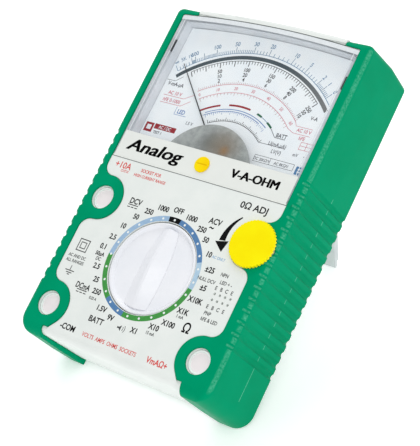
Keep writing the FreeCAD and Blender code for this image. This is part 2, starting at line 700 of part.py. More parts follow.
def mirror_arc(z0, z1, half):
    spread = math.radians(MIRROR_SPREAD)
    outer = MIRROR_R + half
    inner = MIRROR_R - half
    sine = math.sin(spread)
    cosine = math.cos(spread)
    return prism(trace((-outer * sine, MIRROR_CENTRE_Y + outer * cosine), [
        (0, MIRROR_CENTRE_Y + outer, outer * sine, MIRROR_CENTRE_Y + outer * cosine),
        (inner * sine, MIRROR_CENTRE_Y + inner * cosine),
        (0, MIRROR_CENTRE_Y + inner, -inner * sine, MIRROR_CENTRE_Y + inner * cosine),
    ]), z0, z1)


def make_mirror_strip():
    return mirror_arc(SCALE_Z - 0.3, SCALE_Z + 0.02, MIRROR_HALF_W)


def make_movement_shield():
    front = COVER_FRONT - COVER_T - 0.1
    disc = rod(SHIELD_CENTRE_X, SHIELD_CENTRE_Y, front - SHIELD_T, front, SHIELD_R)
    return disc.cut(box(-30, 30, -30, BAND_TOP - 2.2, -5, 0))


def make_meter_base():
    plate = prism(rounded_wire(-CAVITY_HALF_W + 0.2, CAVITY_HALF_W - 0.2, COVER_BOTTOM + 0.4, 73.4,
                               1.0, 5.0), BASE_FRONT - BASE_T, BASE_FRONT)
    collar = rod(0, PIVOT_Y, YOKE_BACK + 1, BASE_FRONT - 0.1, YOKE_R + 1.8)
    posts = [rod(x, y, BASE_FRONT - 0.2, SCALE_Z - SCALE_T, 2.2) for x, y in plate_posts()]
    base = fuse([plate, collar] + posts + tongues(0))
    holes = [rod(0, PIVOT_Y, YOKE_BACK - 1, BASE_FRONT + 1, YOKE_R + 0.05)]
    holes += [rod(x, y, BASE_FRONT - 3, 0, 1.05) for x, y in plate_posts()]
    holes.append(rod(0, PIVOT_Y, YOKE_BACK - 1, YOKE_BACK + 1.5, YOKE_BORE_R))
    return base.cut(holes)


def plate_posts():
    return ((-38, 12), (38, 12), (-38, 68), (38, 68))


def make_plate_screws():
    return Part.makeCompound([pan_screw(x, y, SCALE_Z + 1.2, 3.0, 1.8, 0.95, -1)
                              for x, y in plate_posts()[:2]])


# ---------------------------------------------------------------- movement

def make_yoke_ring():
    return tube(0, PIVOT_Y, YOKE_BACK, YOKE_FRONT, YOKE_R, YOKE_BORE_R)


def make_magnet_core():
    return rod(0, PIVOT_Y, YOKE_BACK, YOKE_FRONT, CORE_R)


def make_core_bracket():
    bar = box(-2.4, 2.4, PIVOT_Y - 13.6, PIVOT_Y + 13.6, YOKE_FRONT, YOKE_FRONT + 0.7)
    return bar.cut(rod(0, PIVOT_Y, YOKE_FRONT - 1, YOKE_FRONT + 2, 0.8))


def bridge(levels, leg_levels):
    """Strip across the movement with a leg at each end."""
    y0 = PIVOT_Y - BRIDGE_HALF_W
    y1 = PIVOT_Y + BRIDGE_HALF_W
    strip = box(-BRIDGE_REACH, BRIDGE_REACH, y0, y1, *levels)
    legs = [box(*sorted((side * BRIDGE_REACH, side * (BRIDGE_REACH - 1.0))), y0, y1, *leg_levels)
            for side in (-1, 1)]
    return fuse([strip] + legs)


def make_front_bridge():
    shape = bridge(FRONT_BRIDGE_Z, (BASE_FRONT, FRONT_BRIDGE_Z[1]))
    low = FRONT_BRIDGE_Z[0]
    return shape.cut(rod(0, PIVOT_Y, low - 1, low + 0.6, PIVOT_R + PIVOT_FIT))


def make_rear_bridge():
    shape = bridge(REAR_BRIDGE_Z, (REAR_BRIDGE_Z[0], YOKE_BACK + 1))
    low = REAR_BRIDGE_Z[0]
    return shape.cut(rod(0, PIVOT_Y, low + 0.2, low + 2, PIVOT_R + PIVOT_FIT))


def make_moving_coil():
    outer = box(-COIL_OUT_X, COIL_OUT_X, -COIL_HALF_W, COIL_HALF_W, COIL_BACK, COIL_FRONT)
    inner = box(-COIL_IN_X, COIL_IN_X, -COIL_HALF_W - 1, COIL_HALF_W + 1, COIL_BACK + COIL_BAR,
                COIL_FRONT - COIL_BAR)
    staff_front = rod(0, 0, COIL_FRONT - 0.1, -3.7, PIVOT_R)
    staff_back = rod(0, 0, -27.1, COIL_BACK + 0.1, PIVOT_R)
    coil = fuse([outer.cut(inner), staff_front, staff_back])
    return turn_to_rest(coil)


def turn_to_rest(shape):
    """From the pivot's own frame, where the pointer points up, to its rest at the left."""
    shape.rotate(Vec(0, 0, 0), Z_AXIS, POINTER_REST)
    shape.translate(Vec(0, PIVOT_Y, 0))
    return shape


def make_pointer():
    z0 = POINTER_Z - POINTER_T / 2
    z1 = POINTER_Z + POINTER_T / 2
    hub = rod(0, 0, POINTER_Z - 0.8, POINTER_Z + 0.35, 1.4)
    needle = prism(trace((-0.32, 0), [(0.32, 0), (0.13, POINTER_LENGTH), (-0.13, POINTER_LENGTH)]),
                   z0, z1)
    tail = box(-0.4, 0.4, -6.0, 0, z0, z1)
    arms = box(-6.0, 6.0, -0.4, 0.4, z0, z1)
    pointer = fuse([hub, needle, tail, arms]).cut(rod(0, 0, POINTER_Z - 3, 0, PIVOT_R))
    return turn_to_rest(pointer)


def make_pointer_weights():
    """Balance weights slid on to the two arms and the tail."""
    z0 = POINTER_Z - POINTER_T / 2
    z1 = POINTER_Z + POINTER_T / 2
    weights = []
    for x, y in ((-WEIGHT_AT, 0), (WEIGHT_AT, 0), (0, -WEIGHT_AT)):
        axis = Vec(1, 0, 0) if y == 0 else Vec(0, 1, 0)
        start = Vec(x, y, WEIGHT_Z) - axis * 0.7
        weight = Part.makeCylinder(WEIGHT_R, 1.4, start, axis)
        half_x, half_y = (1.0, 0.4) if y == 0 else (0.4, 1.0)
        slot = box(x - half_x, x + half_x, y - half_y, y + half_y, z0, z1)
        weights.append(weight.cut(slot))
    return turn_to_rest(Part.makeCompound(weights))


def make_hairspring(z0, z1):
    """Flat spiral spring as a run of half turns of growing radius."""
    shapes = []
    radius = SPRING_START_R
    side = 1
    centre = 0.0
    for _ in range(SPRING_HALF_TURNS):
        ring = tube(centre, PIVOT_Y, z0, z1, radius + SPRING_WIRE_T / 2, radius - SPRING_WIRE_T / 2)
        y0, y1 = (PIVOT_Y, PIVOT_Y + 12) if side > 0 else (PIVOT_Y - 12, PIVOT_Y)
        shapes.append(ring.common(box(-12, 12, y0, y1, z0 - 1, z1 + 1)))
        centre += side * SPRING_PITCH / 2
        radius += SPRING_PITCH / 2
        side = -side
    return fuse(shapes)


def make_zero_arm():
    """Ring on the pivot axis, a fork round the zero screw's pin and a lug for the spring."""
    z0 = ZERO_ARM_BACK
    z1 = ZERO_ARM_FRONT
    ring = tube(0, PIVOT_Y, z0, z1, 2.6, 1.5)
    arm = box(-1.3, 1.3, ZERO_Y - 0.4, PIVOT_Y - 2.0, z0, z1)
    slot = box(-0.6, 0.6, ZERO_Y - 1, ZERO_Y + 3.0, z0 - 1, z1 + 1)
    shoulder = box(0.9, 2.6, PIVOT_Y - 7.9, PIVOT_Y - 6.4, z0, z1)
    lug = box(1.4, 2.6, PIVOT_Y - 7.9, PIVOT_Y - 7.0, FRONT_SPRING_Z[0] - 0.1, z1)
    return fuse([ring, arm.cut(slot), shoulder, lug])


# ---------------------------------------------------------------- range switch

def make_range_knob():
    rim = PANEL_FRONT - 0.1
    disc = rod(0, 0, KNOB_BASE, rim, KNOB_R)
    disc = round_edges(disc, 0.5, lambda e: at_height(e, rim))
    dish = Part.makeCone(KNOB_DISH_R, KNOB_R - 0.9, rim + 0.1 - KNOB_DISH_Z, Vec(0, 0, KNOB_DISH_Z))
    hub = rod(0, 0, ROTOR_BACK + 0.3, KNOB_BASE + 0.1, SHAFT_R)
    flat = box(-6, 6, SHAFT_R - 0.9, 6, ROTOR_BACK - 1, ROTOR_FRONT + 0.1)
    knob = fuse([disc.cut(dish), grip(), hub.cut(flat)])
    knob.translate(Vec(0, SWITCH_Y, 0))
    return knob


def grip_section(y, base_half, top_half, top_z):
    """Closed cross-section of the finger grip at one place along it."""
    low = KNOB_DISH_Z - 0.6
    foot = KNOB_DISH_Z + 0.15
    corners = ((-base_half, low), (-base_half, foot), (-top_half, top_z),
               (top_half, top_z), (base_half, foot), (base_half, low))
    points = [Vec(x, y, z) for x, z in corners]
    return Part.makePolygon(points + points[:1])


def grip():
    """Finger grip: an arched ridge across the dish with sloping flanks."""
    sections = [grip_section(*row) for row in GRIP_SECTIONS]
    bar = Part.makeLoft(sections, True, False)
    ends = rod(0, 0, KNOB_DISH_Z - 1, 10, GRIP_REACH)
    return bar.common(ends)


def make_switch_rotor():
    disc = rod(0, SWITCH_Y, ROTOR_BACK, ROTOR_FRONT, ROTOR_R)
    bore = rod(0, SWITCH_Y, ROTOR_BACK - 1, ROTOR_FRONT + 1, SHAFT_R + 0.02)
    flat = box(-6, 6, SWITCH_Y + SHAFT_R - 0.88, SWITCH_Y + 6, ROTOR_BACK - 1, ROTOR_FRONT + 1)
    pocket = rod(0, SWITCH_Y + DETENT_R, ROTOR_BACK - 1, ROTOR_FRONT + 1, 1.3)
    openings = []
    for quarter in range(4):
        angle = math.radians(45 + 90 * quarter)
        openings.append(rod(10.5 * math.cos(angle), SWITCH_Y + 10.5 * math.sin(angle),
                            ROTOR_BACK - 1, ROTOR_FRONT + 1, 3.2))
    return disc.cut([bore.cut(flat), pocket] + openings)


def make_detent_ball():
    return Part.makeSphere(1.15, Vec(0, SWITCH_Y + DETENT_R, ROTOR_FRONT + 0.1))


def make_detent_spring():
    """Flat leaf under the ball, screwed to the back of the rotor."""
    tip = SWITCH_Y + DETENT_R + 1.5
    return box(-1.2, 1.2, tip - 8.5, tip, ROTOR_BACK - 0.3, ROTOR_BACK)


def make_wipers():
    """Three spring contacts that sweep the board's tracks."""
    blades = []
    for x in (-2.0, 0.0, 2.0):
        foot = box(x - 0.7, x + 0.7, SWITCH_Y - 15.5, SWITCH_Y - 6.0, ROTOR_BACK - 0.3, ROTOR_BACK)
        tip = Part.makeCylinder(0.35, 1.4, Vec(x - 0.7, SWITCH_Y - 15.0, ROTOR_BACK - 0.6),
                                Vec(1, 0, 0))
        blades.append(fuse([foot, tip]))
    return Part.makeCompound(blades)


# ---------------------------------------------------------------- ohm adjuster

def make_ohm_knob():
    disc = rod(0, 0, OHM_KNOB_BACK, OHM_KNOB_FRONT, OHM_KNOB_R)
    disc = round_edges(disc, 0.35, lambda e: at_height(e, OHM_KNOB_FRONT))
    notches = []
    reach = OHM_KNOB_R + 0.1
    for index in range(OHM_KNOB_TEETH):
        angle = 2 * math.pi * index / OHM_KNOB_TEETH
        notches.append(rod(reach * math.cos(angle), reach * math.sin(angle), -1, 3, 0.48))
    disc = disc.cut(notches)
    skirt = rod(0, 0, PANEL_FRONT + 0.15, 0.3, 8.9)
    stem = rod(0, 0, -4.7, 0.3, 4.0)
    knob = fuse([disc, skirt, stem])
    bore = rod(0, 0, -6, -1.0, 3.0)
    flat = box(-4, 4, 2.2, 4, -6, 0)
    knob = knob.cut(bore.cut(flat))
    knob.translate(Vec(OHM_X, OHM_Y, 0))
    return knob


def make_potentiometer():
    body = box(-5.4, 5.4, -5.8, 5.4, PCB_FRONT, -5.6)
    lugs = [box(x - 0.5, x + 0.5, -7.4, -5.7, PCB_FRONT, PCB_FRONT + 0.4) for x in (-3, 0, 3)]
    pot = fuse([body] + lugs)
    pot = pot.cut(rod(0, 0, -9.0, -5, 3.08))
    pot.translate(Vec(OHM_X, OHM_Y, 0))
    return pot


def make_potentiometer_shaft():
    shaft = rod(0, 0, -8.8, -1.1, 2.96)
    shaft = shaft.cut(box(-4, 4, 2.16, 4, -5.2, 0))
    shaft.translate(Vec(OHM_X, OHM_Y, 0))
    return shaft


# ---------------------------------------------------------------- sockets

def make_jack(x, y):
    """Brass contact tube with a blind end, a collar and a solder lug."""
    barrel = rod(x, y, SOCKET_END, SOCKET_MOUTH - 0.1, CONTACT_OUT_R)
    collar = rod(x, y, SOCKET_END - 1.0, SOCKET_END + 0.01, 4.2)
    lug = box(x - 1.2, x + 1.2, y + 3.0, y + 8.0, SOCKET_END - 1.0, SOCKET_END - 0.2)
    jack = fuse([barrel, collar, lug])
    return jack.cut(rod(x, y, SOCKET_END + 1.0, 0, CONTACT_R))


def make_cap(x, y):
    """Push-in cap that closes a socket's well, with a shallow dished face."""
    cup = rod(x, y, SOCKET_MOUTH + 0.3, CAP_FACE, CAP_R)
    skirt = tube(x, y, SOCKET_MOUTH - 3.5, SOCKET_MOUTH + 0.4, CAP_R, POST_R + 0.35)
    cap = fuse([cup, skirt])
    cap = round_edges(cap, 0.3, lambda e: at_height(e, CAP_FACE))
    return cap.cut(rod(x, y, CAP_FACE - 0.45, 1, CAP_R - 0.9))


def transistor_pins():
    places = []
    for y in (-36.9, -39.4):
        for column in range(4):
            places.append((32.4 + 2.5 * column, y))
    return places


def make_transistor_socket():
    block = box(30.4, 41.9, -42.0, -34.4, -9.0, PANEL_BACK - 0.05)
    legs = [box(x - 0.2, x + 0.2, y - 0.2, y + 0.2, PCB_FRONT, -8.9) for x, y in transistor_pins()]
    holes = [rod(x, y, -8, 0, 0.45) for x, y in transistor_pins()]
    return fuse([block] + legs).cut(holes)


# ---------------------------------------------------------------- board and power

def make_pcb():
    board = rounded_prism(-44, 44, -72, -2.6, PCB_BACK, PCB_FRONT, 5)
    holes = [rod(x, y, -14, -9, SHROUD_R + 0.2) for x, y in JACKS.values()]
    holes += [rod(x, y, -14, -9, 1.3) for x, y in pcb_screw_places()]
    holes += [rod(x, y, -14, -9, 3.5) for x, y in CASE_SCREWS[2:]]
    holes.append(rod(0, SWITCH_Y, -14, -9, 2.0))
    return board.cut(holes)


def make_pcb_screws():
    return Part.makeCompound([pan_screw(x, y, PCB_BACK - 1.2, 5.0, 2.2, 0.95, 1)
                              for x, y in pcb_screw_places()])


def small_part(x, y, length, radius, along):
    """Axial part with its leads bent down to the board."""
    turn = Vec(1, 0, 0) if along == "x" else Vec(0, 1, 0)
    centre = Vec(x, y, PCB_FRONT + radius + 0.3)
    body = Part.makeCylinder(radius, length, centre - turn * (length / 2), turn)
    lead = Part.makeCylinder(0.3, length + 3, centre - turn * (length / 2 + 1.5), turn)
    ends = [centre + turn * (side * (length / 2 + 1.5)) for side in (-1, 1)]
    legs = [rod(e.x, e.y, PCB_FRONT, e.z, 0.3) for e in ends]
    return fuse([body, lead] + legs)


def make_resistors():
    pieces = []
    for index in range(7):
        pieces.append(small_part(-18 + 6 * index, -63.0, 5.4, 1.1, "y"))
    for index in range(4):
        pieces.append(small_part(-34.0, -27.0 - 5.0 * index, 5.4, 1.1, "x"))
    for index in range(6):
        pieces.append(small_part(-15 + 6 * index, -8.6, 5.4, 1.1, "y"))
    return Part.makeCompound(pieces)


def make_trimmers():
    pieces = []
    for index in range(3):
        y = -22.0 - 7.5 * index
        body = box(27.2, 29.6, y - 3, y + 3, PCB_FRONT, PCB_FRONT + 5.0)
        pieces.append(body.cut(box(28.2, 28.6, y - 2, y + 2, PCB_FRONT + 4.4, PCB_FRONT + 6)))
    return Part.makeCompound(pieces)


def make_fuse_link():
    glass = Part.makeCylinder(2.4, 20, Vec(-36, -50, PCB_BACK - 4.0), Vec(0, 1, 0))
    caps = [Part.makeCylinder(2.6, 5, Vec(-36, y, PCB_BACK - 4.0), Vec(0, 1, 0)) for y in (-50, -35)]
    return fuse([glass] + caps)


def make_fuse_clips():
    clips = []
    for y in (-48.5, -34.0):
        ring = Part.makeCylinder(3.1, 3, Vec(-36, y, PCB_BACK - 4.0), Vec(0, 1, 0))
        bore = Part.makeCylinder(2.65, 5, Vec(-36, y - 1, PCB_BACK - 4.0), Vec(0, 1, 0))
        mouth = box(-37.6, -34.4, y - 1, y + 4, PCB_BACK - 9, PCB_BACK - 5)
        foot = box(-37.4, -34.6, y, y + 3, PCB_BACK - 1.2, PCB_BACK)
        clips.append(fuse([ring, foot]).cut([bore, mouth]))
    return Part.makeCompound(clips)


def make_buzzer():
    body = rod(36, -31, PCB_BACK - 6.5, PCB_BACK, 7.2)
    return body.cut(rod(36, -31, PCB_BACK - 8, PCB_BACK - 5.8, 1.4))


def make_battery_9v():
    length, width, height = NINE_V
    z0 = BACK_Z + 2.2
    case = box(-length / 2 + 2.4, length / 2, NINE_V_Y - width / 2, NINE_V_Y + width / 2,
               z0, z0 + height)
    case = round_edges(case, 2.0, lambda e: abs(e.BoundBox.XLength - (length - 2.4)) < 1e-3)
    studs = [Part.makeCylinder(3.0, 2.6, Vec(-length / 2, NINE_V_Y + dy, z0 + height / 2),
                               Vec(1, 0, 0)) for dy in (-6.4, 6.4)]
    return fuse([case] + studs)


def make_battery_snap():
    end = -NINE_V[0] / 2
    z0 = BACK_Z + 2.2
    return box(end - 1.8, end - 0.1, NINE_V_Y - 12, NINE_V_Y + 12, z0 + 3, z0 + 14)


def make_batteries_aa():
    cells = []
    for y, side in ((AA_UPPER_Y, 1), (AA_LOWER_Y, -1)):
        body = Part.makeCylinder(AA_R, AA_LENGTH - 1.2, Vec(-side * 24.2, y, AA_Z), Vec(side, 0, 0))
        nub = Part.makeCylinder(2.7, 1.3, Vec(side * (AA_LENGTH - 25.5), y, AA_Z), Vec(side, 0, 0))
        cells.append(fuse([body, nub]))
    return Part.makeCompound(cells)


def make_battery_contacts():
    plates = []
    for y in (AA_UPPER_Y, AA_LOWER_Y):
        for side in (-1, 1):
            x0, x1 = sorted((side * 26.3, side * 26.9))
            plates.append(box(x0, x1, y - 5, y + 5, AA_Z - 5, AA_Z + 5))
    return Part.makeCompound(plates)


# ---------------------------------------------------------------- tilt stand

def make_stand():
    """U-frame drawn folded against the back, then swung open about its hinge."""
    foot = STAND_HINGE_Y - STAND_LENGTH
    z0 = STAND_HINGE_Z - STAND_T / 2
    z1 = STAND_HINGE_Z + STAND_T / 2
    leg = box(STAND_IN_X, STAND_OUT_X, foot + STAND_FOOT_R, STAND_HINGE_Y, z0, z1)
    eye = cross_rod(STAND_IN_X, STAND_OUT_X, STAND_HINGE_Y, STAND_HINGE_Z, STAND_EYE_R)
    bar = box(-STAND_IN_X - 1, STAND_IN_X + 1, foot + STAND_FOOT_R, foot + STAND_BAR, z0, z1)
    tip = cross_rod(-STAND_OUT_X, STAND_OUT_X, foot + STAND_FOOT_R, STAND_HINGE_Z, STAND_FOOT_R)
    flange = box(STAND_OUT_X - 1.2, STAND_OUT_X, foot + 3, STAND_HINGE_Y, STAND_HINGE_Z - 2.0, z1)
    brace_y0, brace_y1 = brace_range(0)
    brace = box(-STAND_IN_X - 1, STAND_IN_X + 1, brace_y0, brace_y1, z0, z1)
    frame = fuse([both_sides(leg), both_sides(eye), bar, tip, both_sides(flange), brace])
    bore = cross_rod(-STAND_OUT_X - 1, STAND_OUT_X + 1, STAND_HINGE_Y, STAND_HINGE_Z,
                     STAND_PIN_R + STAND_FIT)
    frame = frame.cut(bore)
    frame.rotate(Vec(0, STAND_HINGE_Y, STAND_HINGE_Z), Vec(1, 0, 0), STAND_OPEN)
    return frame


def make_stand_pins():
    pins = [cross_rod(x0, x1, STAND_HINGE_Y, STAND_HINGE_Z, STAND_PIN_R)
            for x0, x1 in ((STAND_IN_X, STAND_OUT_X + 3.0), (-STAND_OUT_X - 3.0, -STAND_IN_X))]
    return Part.makeCompound(pins)


# ---------------------------------------------------------------- writing the parts

def build():
    parts = {
        "holster": make_holster(),
        "front_case": make_front_case(),
        "rear_case": make_rear_case(),
        "battery_cover": make_battery_cover(),
        "battery_cover_screws": make_battery_cover_screws(),
        "case_screws": make_case_screws(),
        "meter_cover": make_meter_cover(),
        "cover_band": make_cover_band(),
        "zero_screw": make_zero_screw(),
        "scale_plate": make_scale_plate(),
        "mirror_strip": make_mirror_strip(),
        "movement_shield": make_movement_shield(),
        "meter_base": make_meter_base(),
        "plate_screws": make_plate_screws(),
        "yoke_ring": make_yoke_ring(),
        "magnet_core": make_magnet_core(),
        "core_bracket": make_core_bracket(),
        "front_bridge": make_front_bridge(),
        "rear_bridge": make_rear_bridge(),
        "moving_coil": make_moving_coil(),
        "pointer": make_pointer(),
        "pointer_weights": make_pointer_weights(),
        "front_hairspring": make_hairspring(*FRONT_SPRING_Z),
        "rear_hairspring": make_hairspring(*REAR_SPRING_Z),
        "zero_arm": make_zero_arm(),
        "range_knob": make_range_knob(),
        "switch_rotor": make_switch_rotor(),
        "detent_ball": make_detent_ball(),
        "detent_spring": make_detent_spring(),
        "switch_wipers": make_wipers(),
        "ohm_knob": make_ohm_knob(),
        "potentiometer": make_potentiometer(),
        "potentiometer_shaft": make_potentiometer_shaft(),
        "transistor_socket": make_transistor_socket(),
        "pcb": make_pcb(),
        "pcb_screws": make_pcb_screws(),
        "resistors": make_resistors(),
        "trimmers": make_trimmers(),
        "fuse_link": make_fuse_link(),
        "fuse_clips": make_fuse_clips(),
        "buzzer": make_buzzer(),
        "battery_9v": make_battery_9v(),
        "battery_snap": make_battery_snap(),
        "batteries_aa": make_batteries_aa(),
        "battery_contacts": make_battery_contacts(),
        "stand": make_stand(),
        "stand_pins": make_stand_pins(),
    }
    for name, (x, y) in JACKS.items():
        parts["jack_" + name] = make_jack(x, y)
        parts["socket_cap_" + name] = make_cap(x, y)
    return parts


os.makedirs("parts", exist_ok=True)
for node, shape in build().items():
    placed = shape.copy()
    placed.Placement = PLACEMENT.multiply(placed.Placement)
    placed.exportStep("parts/" + node + ".step")
    bounds = placed.BoundBox
    print(node, len(placed.Solids), round(placed.Volume), placed.isValid(),
          [round(v, 1) for v in (bounds.XMin, bounds.XMax, bounds.YMin, bounds.YMax,
                                 bounds.ZMin, bounds.ZMax)])
print("lean", LEAN, "shift", SHIFT_Y, SHIFT_Z)
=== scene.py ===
import json
import math

import bpy
from mathutils import Matrix, Vector


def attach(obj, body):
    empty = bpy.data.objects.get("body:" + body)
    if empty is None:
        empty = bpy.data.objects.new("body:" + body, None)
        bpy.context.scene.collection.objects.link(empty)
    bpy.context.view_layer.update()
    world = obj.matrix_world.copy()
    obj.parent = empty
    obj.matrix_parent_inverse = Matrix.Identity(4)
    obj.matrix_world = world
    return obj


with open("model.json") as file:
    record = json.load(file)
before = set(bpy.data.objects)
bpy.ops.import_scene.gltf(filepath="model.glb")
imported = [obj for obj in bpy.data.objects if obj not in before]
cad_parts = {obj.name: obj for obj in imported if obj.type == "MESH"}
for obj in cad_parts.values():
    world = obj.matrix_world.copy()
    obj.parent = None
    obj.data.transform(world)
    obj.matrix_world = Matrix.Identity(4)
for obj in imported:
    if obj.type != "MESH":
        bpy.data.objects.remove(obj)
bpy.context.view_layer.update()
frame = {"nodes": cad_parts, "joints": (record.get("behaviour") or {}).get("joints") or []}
nodes = frame["nodes"]
joints = {j["name"]: j for j in frame["joints"]}

MM_PER_M = 1000.0

# The meter's own frame, in millimetres: x across the face, y up the face, z out of it, and z = 0 on
# the front of the holster. METER carries a point of it to the row frame, in metres.
SWITCH_AT = Vector((0.0, -35.5, 0.0))
FACE_NORMAL = Vector(joints["range_switch"]["axis"])
LEAN = math.atan2(-FACE_NORMAL.y, FACE_NORMAL.z)
TILT = Matrix.Rotation(LEAN, 4, "X")
SHIFT = Vector(joints["range_switch"]["pos_m"]) * MM_PER_M - TILT @ SWITCH_AT
METER = Matrix.Scale(1 / MM_PER_M, 4) @ Matrix.Translation(SHIFT) @ TILT

# Levels of the printed surfaces and the step by which one film lies over another
PANEL = -0.3
BAND = -0.28
PLATE = -6.7
INK = 0.02

# The panel, the clear cover and the holster's side walls
OHM_AT = (38.85, -14.1)
RING_R = (20.2, 22.45)
RING_DOT_R = 21.3
SWITCH_PLACES = 24
COVER_HALF_W = 44.5
COVER_WALL = 2.1
COVER_TOP = 76.3
COVER_BOW = 2.3
BORDER_SIDE_X = 42.75
BORDER_GAP = 0.15
SEAM_Y = (4.48, 4.76)
SEAM_HALF_W = 44.4
TOP_SEAM_HALF_W = 37.0
STRIP_HALF_W = 44.3
STRIP_TOP = 5.4
BAND_TOP = 17.0
SLOT_X = (42.6, 44.2)
SLOT_Y = (56.7, 62.9)
CAP_RIM_R = 3.85
FLUTE_TOP = 15.1
FLUTE_PITCH = 4.9
FLUTE_COUNT = 15
CREASE_X = 49.995
CREASE_Z = (-20.9, -20.5)
CREASE_END = -69.0
LAND_HALF = 1.0

# The dial: the centre of its scales, the angles of zero and full scale, and each scale's radius
DIAL_CENTRE = (0.0, 10.5)
ZERO_ANGLE = -37.8
FULL_ANGLE = 39.4
OHM_SCALE_R = 55.95
OHM_NUMBER_R = 60.4
VOLT_SCALE_R = 52.0
NUMBER_ROW_R = (47.9, 45.6, 43.4)
PINK_OUTER_R = 41.0
PINK_INNER_R = 37.0
LED_SCALE_R = 28.3
LOAD_SCALE_R = 23.8

# Camera: sensor height and focal length in millimetres, and the shift of the lens
SENSOR = 36.0
LENS = 105.307265
LENS_SHIFT = (0.00574, 0.00641)

# Studio
SKY_STRENGTH = 0.6
FLOOR_GLOW = 0.3
FLOOR_HALF = 3.0
LIGHT_TARGET = (0.0, 0.0, 0.05)
LIGHTS = (
    # name, place, size, power
    ("key", (0.62, -0.62, 0.95), (0.7, 0.7), 4.4),
    ("side_strip", (0.90, -0.10, 0.72), (0.15, 0.9), 0.6),
    ("back", (-0.45, 0.85, 1.15), (1.2, 0.9), 7.5),
)

# Sockets of a colour Mix node
MIX_FACTOR, MIX_A, MIX_B, MIX_RESULT = 0, 6, 7, 2


# ------------------------------------------------------------------ camera, light, floor

def make_camera():
    """Camera placed by its position and axes in the meter's own frame."""
    position = Vector((305.218, -117.580, 405.489))
    right = Vector((0.784063, 0.429048, -0.448513))
    down = Vector((0.249021, -0.879353, -0.405866))
    forward = Vector((-0.568537, 0.206535, -0.796310))
    turn = TILT.to_3x3()
    axes = Matrix((turn @ right, turn @ -down, turn @ -forward)).transposed()
    data = bpy.data.cameras.new("camera")
    data.sensor_fit = "VERTICAL"
    data.sensor_height = SENSOR
    data.lens = LENS
    data.shift_x, data.shift_y = LENS_SHIFT
    data.clip_start = 0.01
    camera = bpy.data.objects.new("camera", data)
    camera.matrix_world = Matrix.Translation(METER @ position) @ axes.to_4x4()
    bpy.context.scene.collection.objects.link(camera)
    bpy.context.scene.camera = camera


def area_light(name, place, size, power):
    """Rectangular light aimed at the middle of the meter."""
    data = bpy.data.lights.new(name, "AREA")
    data.shape = "RECTANGLE"
    data.size, data.size_y = size
    data.energy = power
    light = bpy.data.objects.new(name, data)
    look = (Vector(LIGHT_TARGET) - Vector(place)).to_track_quat("-Z", "Y")
    light.matrix_world = Matrix.Translation(place) @ look.to_matrix().to_4x4()
    bpy.context.scene.collection.objects.link(light)


def make_studio():
    """Even sky, three soft lights and the floor."""
    bpy.context.scene.view_settings.view_transform = "Standard"
    world = bpy.data.worlds.new("studio")
    world.use_nodes = True
    sky = world.node_tree.nodes["Background"]
    sky.inputs["Color"].default_value = (0.98, 0.99, 1.0, 1.0)
    sky.inputs["Strength"].default_value = SKY_STRENGTH
    bpy.context.scene.world = world
    for row in LIGHTS:
        area_light(*row)
    make_floor()


def make_floor():
    """Pale paper that glows a little, so that no hard shadow lies round the meter."""
    far = FLOOR_HALF
    mesh = bpy.data.meshes.new("floor")
    mesh.from_pydata([(-far, -far, 0), (far, -far, 0), (far, far, 0), (-far, far, 0)], [],
                     [(0, 1, 2, 3)])
    floor = bpy.data.objects.new("floor", mesh)
    bpy.context.scene.collection.objects.link(floor)
    paper = surface("floor_paper", (252, 252, 252), (250, 250, 251), 0.9, grain=2.0, bump=0.05)
    add_glow(paper, (1.0, 1.0, 1.0, 1.0), FLOOR_GLOW)
    floor.data.materials.append(paper)


# ------------------------------------------------------------------ materials

def linear(colour):
    """An 8-bit sRGB colour as linear values with alpha."""
    out = []
    for value in colour:
        c = value / 255.0
        out.append(c / 12.92 if c <= 0.04045 else ((c + 0.055) / 1.055) ** 2.4)
    return tuple(out) + (1.0,)


def surface(name, light, dark, rough, grain=0.3, bump=0.1, metal=0.0, coat=0.0, spec=0.5,
            alpha=None, edge_round=0.0, patch=9.0, rough_spread=0.08, spec_tint=None):
    """Moulded or painted surface: two close shades in soft patches, fine grain and bump.

    grain and patch are the sizes of the fine and the broad variation in millimetres.
    """
    material = bpy.data.materials.new(name)
    material.use_nodes = True
    tree = material.node_tree
    shader = tree.nodes["Principled BSDF"]
    shader.inputs["Metallic"].default_value = metal
    shader.inputs["Coat Weight"].default_value = coat
    shader.inputs["Coat Roughness"].default_value = 0.12
    shader.inputs["Specular IOR Level"].default_value = spec
    if spec_tint is not None:
        shader.inputs["Specular Tint"].default_value = linear(spec_tint)

    place = tree.nodes.new("ShaderNodeTexCoord")
    broad = noise(tree, place, MM_PER_M / patch, 3.0)
    fine = noise(tree, place, MM_PER_M / grain, 4.0)
    shade = tree.nodes.new("ShaderNodeMix")
    shade.data_type = "RGBA"
    shade.inputs[MIX_A].default_value = linear(dark)
    shade.inputs[MIX_B].default_value = linear(light)
    spread = remap(tree, broad.outputs["Fac"], (0.35, 0.65))
    tree.links.new(spread, shade.inputs[MIX_FACTOR])
    tree.links.new(shade.outputs[MIX_RESULT], shader.inputs["Base Color"])

    gloss = (max(rough - rough_spread, 0.02), min(rough + rough_spread, 1.0))
    tree.links.new(remap(tree, fine.outputs["Fac"], (0.0, 1.0), gloss),
                   shader.inputs["Roughness"])

    relief = tree.nodes.new("ShaderNodeBump")
    relief.inputs["Strength"].default_value = bump
    relief.inputs["Distance"].default_value = grain * 0.0002
    tree.links.new(fine.outputs["Fac"], relief.inputs["Height"])
    if edge_round > 0:
        soften = tree.nodes.new("ShaderNodeBevel")
        soften.samples = 4
        soften.inputs["Radius"].default_value = edge_round / MM_PER_M
        tree.links.new(soften.outputs["Normal"], relief.inputs["Normal"])
    tree.links.new(relief.outputs["Normal"], shader.inputs["Normal"])
    if alpha is not None:
        shader.inputs["Alpha"].default_value = alpha
    return material


